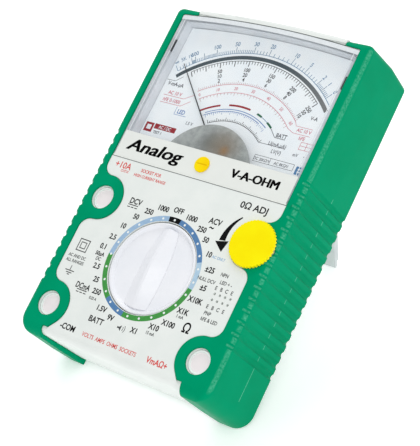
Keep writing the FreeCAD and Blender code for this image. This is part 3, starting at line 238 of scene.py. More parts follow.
def add_glow(material, colour, strength):
    """Adds a faint light of its own to a finished material."""
    shader = material.node_tree.nodes["Principled BSDF"]
    shader.inputs["Emission Color"].default_value = colour
    shader.inputs["Emission Strength"].default_value = strength


def blend(tree, amount, under, colour):
    """Lays a colour over an existing colour output, by the given amount; returns the result."""
    mix = tree.nodes.new("ShaderNodeMix")
    mix.data_type = "RGBA"
    mix.inputs[MIX_B].default_value = linear(colour)
    tree.links.new(amount, mix.inputs[MIX_FACTOR])
    tree.links.new(under, mix.inputs[MIX_A])
    return mix.outputs[MIX_RESULT]


def remap(tree, value, from_range, to_range=(0.0, 1.0), smooth=False):
    """Carries a value from one range to another, clamped at both ends."""
    node = tree.nodes.new("ShaderNodeMapRange")
    if smooth:
        node.interpolation_type = "SMOOTHSTEP"
    node.inputs["From Min"].default_value, node.inputs["From Max"].default_value = from_range
    node.inputs["To Min"].default_value, node.inputs["To Max"].default_value = to_range
    tree.links.new(value, node.inputs["Value"])
    return node.outputs["Result"]


def noise(tree, place, scale, detail):
    """Cloudy variation through the object, with scale in cycles to the metre."""
    node = tree.nodes.new("ShaderNodeTexNoise")
    node.inputs["Scale"].default_value = scale
    node.inputs["Detail"].default_value = detail
    tree.links.new(place.outputs["Object"], node.inputs["Vector"])
    return node


def rub_edges(material):
    """Painted highlight: a lighter speckled streak where the rounded front edges face between front
    and side.
    """
    tree = material.node_tree
    base = tree.nodes["Principled BSDF"].inputs["Base Color"]
    under = base.links[0].from_socket
    place = tree.nodes.new("ShaderNodeTexCoord")
    lean = tree.nodes.new("ShaderNodeVectorMath")
    lean.operation = "DOT_PRODUCT"
    lean.inputs[1].default_value = (FACE_NORMAL + Vector((1.25, 0.0, 0.0))).normalized()
    tree.links.new(place.outputs["Normal"], lean.inputs[0])
    near = remap(tree, lean.outputs["Value"], (0.9, 1.0), (0.0, 0.62), smooth=True)
    speckle = noise(tree, place, 1400.0, 4.0)
    highlight_speckle = remap(tree, speckle.outputs["Fac"], (0.3, 0.75))
    amount = tree.nodes.new("ShaderNodeMath")
    amount.operation = "MULTIPLY"
    tree.links.new(near, amount.inputs[0])
    tree.links.new(highlight_speckle, amount.inputs[1])
    # painted highlight colour laid over the rubber along the rounded front edges
    tree.links.new(blend(tree, amount.outputs["Value"], under, (104, 200, 164)), base)


def clear_surface(name, tint, face_alpha, edge_alpha, rough):
    """Clear moulding: nearly invisible face on, and more reflective towards grazing angles."""
    material = surface(name, tint, tint, rough, grain=1.5, bump=0.02, rough_spread=0.01)
    tree = material.node_tree
    shader = tree.nodes["Principled BSDF"]
    shader.inputs["IOR"].default_value = 1.49
    facing = tree.nodes.new("ShaderNodeLayerWeight")
    facing.inputs["Blend"].default_value = 0.35
    cover = remap(tree, facing.outputs["Facing"], (0.25, 1.0), (face_alpha, edge_alpha))
    tree.links.new(cover, shader.inputs["Alpha"])
    return material


def milky_walls(cover):
    """The cover's upright walls get a paler, less clear finish than its flat front and its slots,
    and a faint painted glow that lightens them where they lie in shade.
    """
    mesh = cover.data
    wall = surface("clear_plastic_wall", (236, 239, 243), (226, 230, 235), 0.18, grain=1.5,
                   bump=0.03, alpha=0.8)
    # painted light: a faint glow that brightens the walls where they lie in shade
    add_glow(wall, (0.93, 0.97, 1.0, 1.0), 0.09)
    mesh.materials.append(wall)
    to_meter = METER.inverted() @ cover.matrix_world
    for face in mesh.polygons:
        spot = to_meter @ face.center
        in_slot = SLOT_X[0] < abs(spot.x) < SLOT_X[1] and SLOT_Y[0] < spot.y < SLOT_Y[1]
        if abs(face.normal.dot(FACE_NORMAL)) < 0.5 and not in_slot:
            face.material_index = 1


def bright_rim(cap):
    """The raised rim of a cap is a cleaner white than its dished middle."""
    mesh = cap.data
    mesh.materials.append(surface("cap_rim", (250, 255, 252), (244, 251, 248), 0.3, grain=0.4,
                                  bump=0.05, edge_round=0.2, coat=0.2))
    to_meter = METER.inverted() @ cap.matrix_world
    spots = [to_meter @ vertex.co for vertex in mesh.vertices]
    middle_x = (min(p.x for p in spots) + max(p.x for p in spots)) / 2
    middle_y = (min(p.y for p in spots) + max(p.y for p in spots)) / 2
    for face in mesh.polygons:
        spot = to_meter @ face.center
        if math.hypot(spot.x - middle_x, spot.y - middle_y) > CAP_RIM_R:
            face.material_index = 1


def mirror_surface():
    """Foil mirror with a painted reflection: a dark room at its left and a lighter one at its
    right.
    """
    painted_dark_reflection, painted_light_reflection = (62, 76, 82), (120, 122, 122)
    material = surface("mirror_foil", painted_dark_reflection, (50, 64, 70), 0.3, grain=0.8, bump=0.03,
                       spec=0.3)
    tree = material.node_tree
    place = tree.nodes.new("ShaderNodeTexCoord")
    split = tree.nodes.new("ShaderNodeSeparateXYZ")
    tree.links.new(place.outputs["Object"], split.inputs["Vector"])
    # painted reflection, darker at the left and lighter at the right
    across = remap(tree, split.outputs["X"], (0.012, 0.038))
    mix = tree.nodes.new("ShaderNodeMix")
    mix.data_type = "RGBA"
    mix.inputs[MIX_A].default_value = linear(painted_dark_reflection)
    mix.inputs[MIX_B].default_value = linear(painted_light_reflection)
    tree.links.new(across, mix.inputs[MIX_FACTOR])
    tree.links.new(mix.outputs[MIX_RESULT], tree.nodes["Principled BSDF"].inputs["Base Color"])
    return material


def smoked_surface():
    """Smoked clear plastic with the movement showing through it as soft warm patches."""
    material = surface("smoked_plastic", (188, 193, 190), (160, 166, 163), 0.3, grain=0.5,
                       bump=0.05, alpha=0.76, patch=2.6)
    tree = material.node_tree
    base = tree.nodes["Principled BSDF"].inputs["Base Color"]
    under = base.links[0].from_socket
    place = tree.nodes.new("ShaderNodeTexCoord")
    to_shield = nodes["movement_shield"].matrix_world.inverted()
    patches = (
        # centre, reach, colour
        ((-3.0, 21.5), 9.0, (122, 128, 124)),
        ((4.0, 21.0), 12.0, (140, 126, 104)),
        ((5.5, 19.6), 3.6, (166, 126, 76)),
    )
    for centre, reach, colour in patches:
        span = tree.nodes.new("ShaderNodeVectorMath")
        span.operation = "DISTANCE"
        span.inputs[1].default_value = to_shield @ METER @ Vector((*centre, -2.0))
        tree.links.new(place.outputs["Object"], span.inputs[0])
        near = remap(tree, span.outputs["Value"], (0.0, reach / MM_PER_M), (0.85, 0.0),
                     smooth=True)
        under = blend(tree, near, under, colour)
    tree.links.new(under, base)
    return material


def wound_surface(name, light, dark, pitch):
    """Fine wire laid side by side: bands across the winding, in millimetres of pitch."""
    material = surface(name, light, dark, 0.35, grain=0.2, bump=0.1, metal=0.8)
    tree = material.node_tree
    place = tree.nodes.new("ShaderNodeTexCoord")
    wave = tree.nodes.new("ShaderNodeTexWave")
    wave.inputs["Scale"].default_value = MM_PER_M / pitch / math.tau
    tree.links.new(place.outputs["Object"], wave.inputs["Vector"])
    relief = tree.nodes.new("ShaderNodeBump")
    relief.inputs["Strength"].default_value = 0.6
    relief.inputs["Distance"].default_value = 0.0001
    tree.links.new(wave.outputs["Fac"], relief.inputs["Height"])
    tree.links.new(relief.outputs["Normal"], tree.nodes["Principled BSDF"].inputs["Normal"])
    return material


def finishes():
    """Every finish, with the sub-parts that have it."""
    rubber = surface("holster_rubber", (0, 153, 108), (0, 148, 103), 0.34, grain=0.5, bump=0.14,
                     patch=14.0, edge_round=0.9, spec=0.015, spec_tint=(0, 220, 170))
    # painted highlight along the holster's rounded front edges
    rub_edges(rubber)
    case = surface("case_plastic", (236, 240, 236), (231, 236, 232), 0.5, grain=0.35, bump=0.12,
                   edge_round=0.3)
    white = surface("white_plastic", (243, 244, 248), (238, 240, 245), 0.34, grain=0.4,
                    bump=0.06, edge_round=0.35, coat=0.1)
    cap = surface("cap_plastic", (250, 242, 243), (245, 236, 238), 0.34, grain=0.4, bump=0.06,
                  edge_round=0.35, coat=0.1)
    yellow = surface("yellow_plastic", (255, 242, 8), (253, 234, 3), 0.4, grain=0.35, bump=0.1,
                     edge_round=0.15, spec=0.3, spec_tint=(255, 240, 40))
    amber = surface("zero_yellow", (255, 228, 10), (253, 210, 4), 0.4, grain=0.3, bump=0.1,
                    edge_round=0.3, spec=0.3, spec_tint=(255, 240, 40))
    stand = surface("stand_plastic", (218, 223, 224), (208, 213, 215), 0.45, grain=0.4, bump=0.15,
                    edge_round=0.3)
    steel = surface("zinc_steel", (186, 187, 190), (166, 168, 172), 0.32, grain=0.15, bump=0.2,
                    metal=1.0)
    inner = surface("inner_plastic", (52, 52, 55), (40, 40, 43), 0.5, grain=0.3, bump=0.2)
    magnet = surface("ground_steel", (150, 150, 152), (120, 121, 124), 0.36, grain=0.2,
                     bump=0.25, metal=1.0)
    alloy = surface("bridge_alloy", (196, 190, 178), (176, 168, 152), 0.4, grain=0.25, bump=0.2,
                    metal=0.9)
    black = surface("pointer_black", (26, 26, 28), (16, 16, 18), 0.6, grain=0.2, bump=0.1)
    bronze = surface("spring_bronze", (196, 150, 96), (170, 124, 74), 0.3, grain=0.2, bump=0.15,
                     metal=1.0)
    brass = surface("socket_brass", (216, 206, 182), (196, 184, 156), 0.28, grain=0.25,
                    bump=0.12, metal=1.0)
    board = surface("board_laminate", (38, 104, 60), (28, 88, 48), 0.38, grain=0.6, bump=0.15,
                    coat=0.2)
    parts = surface("component_body", (70, 88, 140), (52, 66, 112), 0.4, grain=0.3, bump=0.15)
    jacket = surface("cell_jacket", (66, 66, 70), (48, 48, 52), 0.3, grain=0.5, bump=0.08,
                     coat=0.3)
    plate = surface("dial_plate", (250, 254, 255), (245, 251, 254), 0.6, grain=0.4, bump=0.05)
    band = surface("band_film", (234, 237, 232), (231, 234, 229), 0.42, grain=0.4, bump=0.04)
    glass = clear_surface("fuse_glass", (220, 232, 232), 0.25, 0.8, 0.06)
    clear = clear_surface("clear_plastic", (214, 222, 232), 0.02, 0.55, 0.05)
    coil = wound_surface("coil_copper", (170, 96, 56), (140, 72, 40), 0.12)

    return (
        (rubber, "holster"),
        (case, "front_case", "rear_case", "battery_cover"),
        (white, "range_knob"),
        (cap, "socket_cap_com", "socket_cap_vma", "socket_cap_10a"),
        (yellow, "ohm_knob"),
        (amber, "zero_screw"),
        (stand, "stand"),
        (steel, "battery_cover_screws", "case_screws", "plate_screws", "pcb_screws",
         "stand_pins"),
        (inner, "meter_base", "switch_rotor", "transistor_socket", "battery_snap", "buzzer"),
        (magnet, "yoke_ring", "magnet_core", "detent_ball", "detent_spring"),
        (alloy, "core_bracket", "front_bridge", "rear_bridge", "potentiometer_shaft"),
        (black, "pointer", "pointer_weights"),
        (bronze, "front_hairspring", "rear_hairspring", "zero_arm", "switch_wipers",
         "battery_contacts", "fuse_clips"),
        (brass, "jack_com", "jack_vma", "jack_10a"),
        (board, "pcb"),
        (parts, "potentiometer", "resistors", "trimmers"),
        (jacket, "battery_9v", "batteries_aa"),
        (plate, "scale_plate"),
        (band, "cover_band"),
        (smoked_surface(), "movement_shield"),
        (glass, "fuse_link"),
        (clear, "meter_cover"),
        (coil, "moving_coil"),
        (mirror_surface(), "mirror_strip"),
    )


def paint_nodes():
    """Gives every sub-part its finished material."""
    table = finishes()
    for row in table:
        for name in row[1:]:
            mesh = nodes[name].data
            mesh.materials.clear()
            mesh.materials.append(row[0])
    milky_walls(nodes["meter_cover"])
    for name in ("socket_cap_com", "socket_cap_vma", "socket_cap_10a"):
        bright_rim(nodes[name])
    missing = set(nodes) - {name for row in table for name in row[1:]}
    if missing:
        raise SystemExit("no material for " + ", ".join(sorted(missing)))


# ------------------------------------------------------------------ printed ink

# Height of a capital over the size of the lettering, and the step between a bold word's copies
CAPITAL = 0.72
COPY_STEP = 0.03

PANEL_INKS = {
    "ink_black": (8, 8, 10), "ink_blue": (92, 134, 180), "ink_pale_blue": (178, 206, 226),
    "ink_green": (74, 154, 76), "ink_sky": (160, 190, 218), "ink_white": (240, 246, 244),
    "ink_red": (222, 84, 80), "ink_grey": (84, 86, 86), "painted_seam_shadow": (104, 108, 108),
    "ink_border": (230, 235, 238), "painted_crease_highlight": (96, 196, 160), "ink_band": (234, 237, 232),
}
DIAL_INKS = {
    "ink_dial_black": (30, 30, 34), "ink_dial_blue": (92, 136, 170),
    "ink_pink": (216, 128, 142), "ink_faint": (84, 86, 94), "ink_dial_red": (160, 24, 38),
    "ink_dial_green": (14, 100, 66), "ink_dial_sky": (104, 140, 196),
    "ink_dial_white": (240, 244, 248), "ink_block_blue": (84, 134, 180),
}


class Ink:
    """Thin printed film in one colour, gathered from outlines in the meter's own frame."""

    def __init__(self, name, colour):
        self.name = name
        self.colour = colour
        self.points = []
        self.faces = []
        self.words = []

    def shape(self, outline, z):
        """Filled outline at a level."""
        first = len(self.points)
        self.points += [(x, y, z) for x, y in outline]
        self.faces.append(tuple(range(first, len(self.points))))

    def bar(self, x0, x1, y0, y1, z):
        self.shape(((x0, y0), (x1, y0), (x1, y1), (x0, y1)), z)

    def line(self, start, end, width, z):
        run = Vector(end) - Vector(start)
        side = Vector((-run.y, run.x)).normalized() * (width / 2)
        a, b = Vector(start), Vector(end)
        self.shape([tuple(a - side), tuple(b - side), tuple(b + side), tuple(a + side)], z)

    def arc(self, centre, r0, r1, a0, a1, z):
        """Part of a ring. Angles run clockwise from straight up, in degrees."""
        count = max(1, int(abs(a1 - a0) / 1.5))
        for k in range(count):
            b0 = a0 + (a1 - a0) * k / count
            b1 = a0 + (a1 - a0) * (k + 1) / count
            self.shape([around(centre, r0, b0), around(centre, r1, b0), around(centre, r1, b1),
                        around(centre, r0, b1)], z)

    def dot(self, x, y, radius, z):
        self.shape([around((x, y), radius, -a * 30.0) for a in range(12)], z)

    def tick(self, centre, r0, r1, angle, width, z):
        self.line(around(centre, r0, angle), around(centre, r1, angle), width, z)

    def word(self, text, x, y, height, z, squeeze=0.86, weight=0.03, turn=0.0, slant=0.0,
             copies=1):
        """Text centred on a point: height is that of a capital, turn is clockwise in degrees.

        copies above 1 thicken the upright strokes by laying the word down side by side.
        """
        for k in range(copies):
            step = (k - (copies - 1) / 2) * COPY_STEP * height
            away = around((x, y), step, turn + 90)
            for lift in (-COPY_STEP / 2, COPY_STEP / 2) if copies > 2 else (0.0,):
                self.place_word(text, around(away, lift * height, turn), height, z, squeeze,
                                weight, turn, slant)

    def place_word(self, text, at, height, z, squeeze, weight, turn, slant):
        """One copy of a word, kept with its place until the words are gathered."""
        curve = bpy.data.curves.new("lettering", "FONT")
        curve.body = text
        curve.size = height / CAPITAL
        curve.offset = weight * height
        curve.shear = slant
        curve.align_x = "CENTER"
        curve.resolution_u = 3
        holder = bpy.data.objects.new("lettering", curve)
        bpy.context.scene.collection.objects.link(holder)
        place = (Matrix.Translation((*at, z)) @ Matrix.Rotation(math.radians(-turn), 4, "Z")
                 @ Matrix.Diagonal((squeeze, 1, 1, 1)) @ Matrix.Translation((0, -height / 2, 0)))
        self.words.append((holder, place))

    def gather_words(self, depsgraph):
        """Turns the words into faces of the film."""
        for holder, place in self.words:
            mesh = bpy.data.meshes.new_from_object(holder.evaluated_get(depsgraph))
            first = len(self.points)
            self.points += [tuple(place @ v.co) for v in mesh.vertices]
            for face in mesh.polygons:
                self.faces.append(tuple(first + i for i in face.vertices))
            bpy.data.meshes.remove(mesh)
            bpy.data.objects.remove(holder)

    def build(self, body, slot):
        """Makes the film, facing outwards, and fixes it to its body."""
        mesh = bpy.data.meshes.new(self.name)
        mesh.from_pydata([tuple(METER @ Vector(p)) for p in self.points], [], self.faces)
        mesh.update()
        flip = [f.index for f in mesh.polygons if f.normal.dot(FACE_NORMAL) < 0]
        for index in flip:
            mesh.polygons[index].flip()
        piece = bpy.data.objects.new(self.name, mesh)
        bpy.context.scene.collection.objects.link(piece)
        dark = tuple(max(c - 8, 0) for c in self.colour)
        mesh.materials.append(surface(self.name, self.colour, dark, 0.55, grain=0.25,
                                      bump=0.08, patch=1.2, spec=0.12))
        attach(piece, body)


def around(centre, radius, angle):
    """Point on a circle, at an angle clockwise from straight up."""
    turn = math.radians(angle)
    return centre[0] + radius * math.sin(turn), centre[1] + radius * math.cos(turn)


def print_range_ring(inks):
    """Coloured ring round the switch with a white dot at each of its 24 places."""
    z = PANEL + INK
    centre = (SWITCH_AT.x, SWITCH_AT.y)
    sectors = (
        ("ink_black", -7.5, 7.5),
        ("ink_blue", 7.5, 67.5),
        ("ink_pale_blue", 67.5, 97.5),
        ("ink_green", 97.5, 187.5),
        ("ink_blue", 187.5, 217.5),
        ("ink_green", 217.5, 270.0),
        ("ink_sky", 270.0, 352.5),
    )
    for name, a0, a1 in sectors:
        inks[name].arc(centre, *RING_R, a0, a1, z)
    for step in range(SWITCH_PLACES):
        x, y = around(centre, RING_DOT_R, step * 360.0 / SWITCH_PLACES)
        inks["ink_white"].dot(x, y, 0.5, z + INK)


def print_range_labels(inks):
    """The range beside each place of the switch, with the names of the groups."""
    z = PANEL + INK
    black = inks["ink_black"]
    size = 2.35
    labels = (
        ("OFF", -0.2, -9.9), ("1000", -7.7, -10.9), ("250", -13.5, -13.9), ("50", -18.3, -17.6),
        ("10", -22.2, -22.8), ("2.5", -24.4, -28.5), ("0.1", -26.5, -33.5),
        ("2.5", -25.1, -42.1), ("25", -22.2, -47.3), ("250", -19.2, -51.9),
        ("1.5V", -13.2, -57.6), ("9V", -7.1, -59.7), ("X1", 6.0, -61.1), ("X10", 13.8, -57.1),
        ("X100", 19.2, -53.9), ("X1K", 22.8, -47.4), ("X10K", 25.7, -41.7), ("±5", 26.5, -36.1),
        ("±25", 25.7, -28.6), ("10", 22.1, -22.9), ("50", 17.8, -17.8),
        ("250", 13.9, -14.3), ("1000", 7.1, -11.3),
    )
    for text, x, y in labels:
        black.word(text, x, y, size, z, weight=0.03, copies=2)
    for text, x, y, squeeze in (("DCV", -21.9, -11.6, 0.86), ("ACV", 18.2, -9.7, 0.86),
                                ("DCmA", -26.8, -51.8, 0.74), ("BATT", -13.0, -62.7, 0.9)):
        black.word(text, x, y, 2.5, z, squeeze=squeeze, weight=0.034)
    black.word("Ω", 27.7, -52.9, 4.0, z, squeeze=0.9, weight=0.03)
    black.word("~", 17.7, -12.2, 3.2, z, weight=0.03)
    for x, y in ((-22.4, -14.1), (-26.4, -54.2)):
        black.bar(x - 2.6, x + 2.6, y + 0.45, y + 0.8, z)
        for k in (-1, 0, 1):
            black.bar(x + k * 1.9 - 0.7, x + k * 1.9 + 0.7, y - 0.6, y - 0.25, z)
    black.word("50µA", -26.5, -36.9, 1.7, z, weight=0.05)
    small = inks["ink_grey"]
    for text, x, y, height, weight in (
            ("DC", -26.1, -39.1, 1.5, 0.04), ("0.25 A", -19.5, -55.1, 1.2, 0.04),
            ("15 mA", 13.3, -59.9, 1.3, 0.04), ("1 mA", 22.5, -49.8, 1.3, 0.04),
            ("NULL DCV", 26.2, -32.8, 1.5, 0.03)):
        small.word(text, x, y, height, z, weight=weight)
    inks["ink_sky"].word("AC ONLY", 27.0, -23.3, 1.2, z, weight=0.04)
    # sound symbol: a small horn and two waves
    small.shape([(-2.2, -62.5), (-1.2, -62.5), (-0.3, -63.4), (-0.3, -60.9), (-1.2, -61.8),
                 (-2.2, -61.8)], z)
    for radius in (1.1, 2.0):
        small.arc((-0.5, -62.15), radius, radius + 0.28, 50, 130, z)


def print_panel(inks):
    """Everything else on the panel: sockets, adjuster, transistor test and symbols."""
    z = PANEL + INK
    black = inks["ink_black"]
    red = inks["ink_red"]
    grey = inks["ink_grey"]
    black.word("0Ω ADJ", 31.8, 0.2, 2.8, z, squeeze=1.06)
    black.word("-COM", -24.3, -69.4, 2.5, z, weight=0.04)
    red.word("VmAΩ+", 22.3, -69.4, 2.5, z, weight=0.035)
    red.word("+10A", -36.6, 1.7, 2.9, z, squeeze=0.95, weight=0.02)
    red.bar(-36.6, -32.4, -0.55, -0.3, z)
    for k in range(3):
        red.bar(-36.6 + 1.5 * k, -35.4 + 1.5 * k, -1.2, -0.95, z)
    red.word("SOCKET FOR", -21.5, 1.7, 1.5, z, weight=0.03)
    red.word("HIGH CURRENT RANGE", -21.0, -0.8, 1.3, z, weight=0.03)
    red.word("VOLTS  AMPS  OHMS  SOCKETS", -2.2, -69.6, 1.8, z, squeeze=0.8, weight=0.02)

    print_symbols(grey)
    for text, x, y in (("NPN", 33.0, -28.8), ("LED + -", 35.2, -31.8), ("PNP", 33.3, -44.9),
                       ("hFE & LED", 35.4, -47.4)):
        grey.word(text, x, y, 1.5, z, weight=0.03)
    for k, letter in enumerate("EBCE"):
        for y in (-34.5, -42.3):
            grey.word(letter, 31.9 + 2.5 * k, y, 1.6, z, weight=0.03)
    print_adjuster_arrow(black)


def print_symbols(grey):
    """Double square of the insulation, the note under it and the earth sign."""
    z = PANEL + INK
    x, y = -36.3, -36.1
    for half, line in ((2.75, 0.42), (1.5, 0.38)):
        for sign in (-1, 1):
            edge = sign * (half - line / 2)
            grey.bar(x - half, x + half, y + edge - line / 2, y + edge + line / 2, z)
            grey.bar(x + edge - line / 2, x + edge + line / 2, y - half, y + half, z)
    grey.word("AC AND DC", -36.5, -41.2, 1.4, z, weight=0.03)
    grey.word("ALL RANGES", -36.5, -43.4, 1.4, z, weight=0.03)
    earth_x = -36.8
    grey.line((earth_x, -45.4), (earth_x, -47.5), 0.35, z)
    for width, y in ((4.8, -47.7), (3.0, -48.6), (1.2, -49.4)):
        grey.bar(earth_x - width / 2, earth_x + width / 2, y - 0.2, y + 0.2, z)


def print_adjuster_arrow(black):
    """Curved arrow beside the thumbwheel, thin at its start and wide at its head."""
    z = PANEL + INK
    steps = 18
    start, sweep = -47.0, -51.0
    outer, inner = [], []
    for k in range(steps + 1):
        t = k / steps
        angle = start + sweep * t
        radius = 13.5 + 0.7 * t
        half = 0.25 + 1.2 * t
        outer.append(around(OHM_AT, radius + half, angle))
        inner.append(around(OHM_AT, radius - half, angle))
    for k in range(steps):
        black.shape([inner[k], outer[k], outer[k + 1], inner[k + 1]], z)
    black.shape([around(OHM_AT, 11.2, -98), around(OHM_AT, 17.2, -100),
                 around(OHM_AT, 13.9, -118)], z)


def print_cover(inks):
    """The two words on the band, a painted shadow along the seam and a strip at the cover's foot,
    and the border.
    """
    black, gap_shadow, strip = inks["ink_black"], inks["painted_seam_shadow"], inks["ink_band"]
    z = BAND + INK
    black.word("Analog", -25.4, 11.7, 5.4, z, squeeze=1.34, weight=0.0, slant=0.22, copies=5)
    black.word("V-A-OHM", 26.3, 11.4, 3.7, z, squeeze=1.06, weight=0.0, copies=6)
    # painted shadow in the gap under the cover's foot
    gap_shadow.bar(-SEAM_HALF_W, SEAM_HALF_W, *SEAM_Y, PANEL + 2 * INK)
    strip.bar(-STRIP_HALF_W, STRIP_HALF_W, SEAM_Y[1], STRIP_TOP, PANEL + 2 * INK)
    print_cover_border(inks["ink_border"], gap_shadow)


def print_cover_border(border, gap_shadow):
    """White rim along the cover's bowed top and, narrower, its sides; painted shadow along the seam
    above it.
    """
    z = BAND + INK
    count = 40
    for k in range(count):
        x0 = -COVER_HALF_W + 2 * COVER_HALF_W * k / count
        x1 = -COVER_HALF_W + 2 * COVER_HALF_W * (k + 1) / count
        y0, y1 = cover_top(x0), cover_top(x1)
        if abs(x0 + x1) / 2 < TOP_SEAM_HALF_W:
            # painted shadow in the gap along the cover's bowed top
            gap_shadow.shape([(x0, y0 - 0.05), (x1, y1 - 0.05), (x1, y1 + 0.3), (x0, y0 + 0.3)],
                       PANEL + INK)
        border.shape([(x0, y0 - COVER_WALL), (x1, y1 - COVER_WALL), (x1, y1 - BORDER_GAP),
                      (x0, y0 - BORDER_GAP)], z)
    for side in (-1, 1):
        inner, outer = sorted((side * (COVER_HALF_W - COVER_WALL), side * BORDER_SIDE_X))
        border.bar(inner, outer, BAND_TOP, cover_top(COVER_HALF_W) - COVER_WALL, z)


def cover_top(x):
    """Height of the cover's bowed top edge."""
    return COVER_TOP - COVER_BOW * (x / COVER_HALF_W) ** 2


def print_creases(inks):
    """Painted highlight: a thin light line half way down each side wall, where the moulded crease
    catches the light, broken by the finger flutes.
    """
    light = inks["painted_crease_highlight"]
    z0, z1 = CREASE_Z
    lands = [(FLUTE_TOP + FLUTE_PITCH * (0.5 - k) - LAND_HALF,
              FLUTE_TOP + FLUTE_PITCH * (0.5 - k) + LAND_HALF) for k in range(FLUTE_COUNT)]
    last_flute = FLUTE_TOP - FLUTE_PITCH * (FLUTE_COUNT - 1)
    lands.append((CREASE_END, last_flute - FLUTE_PITCH / 2 + LAND_HALF))
    # painted highlight strips along the crease, one between each pair of flutes
    for x in (-CREASE_X, CREASE_X):
        for low, high in lands:
            first = len(light.points)
            light.points += [(x, low, z0), (x, high, z0), (x, high, z1), (x, low, z1)]
            light.faces.append((first, first + 1, first + 2, first + 3))


def print_dial(inks):
    """The dial: ohm scale outside the mirror, V and A inside it, then the smaller scales."""
    print_ohm_scale(inks["ink_dial_blue"])
    print_volt_scale(inks["ink_dial_black"])
    print_pink_scales(inks["ink_dial_red"], inks["ink_pink"])
    print_battery_arcs(inks)
    print_led_scale(inks["ink_dial_sky"])
    print_load_scale(inks["ink_dial_black"], inks["ink_faint"])
    print_dial_notes(inks)
    print_dial_blocks(inks)


def print_ohm_scale(blue):
    """Ohms run from right to left and crowd together towards infinity."""
    z = PLATE + INK
    blue.arc(DIAL_CENTRE, OHM_SCALE_R - 0.25, OHM_SCALE_R, -44, 44, z)
    # value and its angle
    ohms = ((0, 39.4), (1, 34.8), (2, 30.8), (5, 22.0), (10, 13.6), (20, 1.2), (30, -6.6),
            (50, -15.4), (100, -24.6), (200, -30.6), (500, -34.8), (1000, -36.6), (5000, -44.0))
    for (_, a0), (high, a1) in zip(ohms, ohms[1:]):
        parts = 10 if high in (50, 100, 200) else 5
        for k in range(parts + 1):
            length = 3.0 if k in (0, parts) else 1.5
            angle = a0 + (a1 - a0) * k / parts
            blue.tick(DIAL_CENTRE, OHM_SCALE_R, OHM_SCALE_R + length, angle, 0.24, z)
    for value, angle in ohms:
        if value not in (200, 1000, 5000):
            x, y = around(DIAL_CENTRE, OHM_NUMBER_R, angle)
            blue.word(str(value), x, y, 2.0, z, turn=angle, weight=0.02)
    for text, angle in (("1K", -36.8), ("5K", -40.0), ("∞", -43.2)):
        x, y = around(DIAL_CENTRE, OHM_NUMBER_R - 0.1, angle)
        blue.word(text, x, y, 1.8, z, turn=angle, weight=0.01)


def print_volt_scale(black):
    """V and A: fifty even divisions with three rows of numbers under them."""
    z = PLATE + INK
    span = FULL_ANGLE - ZERO_ANGLE
    black.arc(DIAL_CENTRE, VOLT_SCALE_R - 0.05, VOLT_SCALE_R + 0.2, ZERO_ANGLE, FULL_ANGLE, z)
    for k in range(51):
        angle = ZERO_ANGLE + span * k / 50
        length, width = (2.5, 0.35) if k % 5 == 0 else (1.4, 0.25)
        black.tick(DIAL_CENTRE, VOLT_SCALE_R - length, VOLT_SCALE_R, angle, width, z)
    for step, radius in zip((50, 10, 2), NUMBER_ROW_R):
        for k in range(1, 6):
            angle = ZERO_ANGLE + span * k / 5
            x, y = around(DIAL_CENTRE, radius, angle)
            black.word(str(step * k), x, y, 1.8, z, turn=angle, weight=0.03)


def print_pink_scales(red, pink):
    """Scales of AC 10 V and transistor gain, which share a row of numbers between them."""
    z = PLATE + INK
    pink.arc(DIAL_CENTRE, PINK_OUTER_R - 0.1, PINK_OUTER_R + 0.12, -36, 42, z)
    pink.arc(DIAL_CENTRE, PINK_INNER_R - 0.08, PINK_INNER_R + 0.16, -36, 43, z)
    foot = PINK_OUTER_R + 0.1
    for k in range(61):
        angle = -35 + 76 * k / 60
        length = 1.5 if k % 10 == 0 else 0.9
        red.tick(DIAL_CENTRE, foot, foot + length, angle, 0.12, z)
        if k % 2 == 0:
            red.tick(DIAL_CENTRE, PINK_INNER_R - length, PINK_INNER_R, angle, 0.14, z)
        if k % 10 == 0:
            x, y = around(DIAL_CENTRE, (PINK_OUTER_R + PINK_INNER_R) / 2, angle)
            pink.word(str(k), x, y, 1.5, z, turn=angle, weight=0.02)
    for radius, angle, end_x, y in ((PINK_OUTER_R, 42, 36.5, 39.4),
                                    (PINK_INNER_R, 43, 36.5, 36.2)):
        pink.line(around(DIAL_CENTRE, radius, angle), (end_x - 8.0, y), 0.2, z)
        pink.line((end_x - 8.0, y), (end_x, y), 0.2, z)
    pink.word("AC 10 V", 33.0, 38.0, 1.6, z, weight=0.03)
    pink.word("hFE", 33.5, 34.8, 1.6, z, weight=0.03)
    for y, text in ((38.9, "AC 10 V"), (35.4, "hFE 0-1000")):
        pink.line((-40.0, y), (-29.0, y), 0.22, z)
        pink.word(text, -34.5, y + 1.6, 1.7, z, weight=0.03)
    pink.line((-29.0, 38.9), (-24.5, 41.8), 0.22, z)
    pink.line((-29.0, 35.4), (-25.0, 38.5), 0.22, z)


def print_battery_arcs(inks):
    """Broken coloured arc of the battery test, with its leader line."""
    z = PLATE + INK
    arcs = (
        # ink, inner and outer radius, first and last angle
        ("ink_dial_red", 30.75, 31.6, -36.0, -18.6), ("ink_dial_red", 30.75, 31.6, -11.0, 9.0),
        ("ink_dial_green", 30.7, 31.55, 16.3, 21.6), ("ink_dial_green", 30.7, 31.55, 29.0, 35.4),
        ("ink_dial_blue", 31.0, 31.25, 21.6, 29.0),
    )
    for name, *ring in arcs:
        inks[name].arc(DIAL_CENTRE, *ring, z)
    faint = inks["ink_faint"]
    faint.line(around(DIAL_CENTRE, 31.0, 35.4), (21.5, 32.4), 0.25, z)
    faint.line((21.5, 32.4), (26.5, 32.4), 0.25, z)


def print_led_scale(sky):
    """Two thin arcs, with ticks inwards from the lower one."""
    z = PLATE + INK
    sky.arc(DIAL_CENTRE, LED_SCALE_R + 0.8, LED_SCALE_R + 1.15, -32, 32, z)
    sky.arc(DIAL_CENTRE, LED_SCALE_R - 0.1, LED_SCALE_R + 0.2, -34, 24, z)
    for k in range(33):
        length = 1.4 if k % 4 == 0 else 0.8
        sky.tick(DIAL_CENTRE, LED_SCALE_R - length, LED_SCALE_R, -32 + 2.0 * k, 0.2, z)


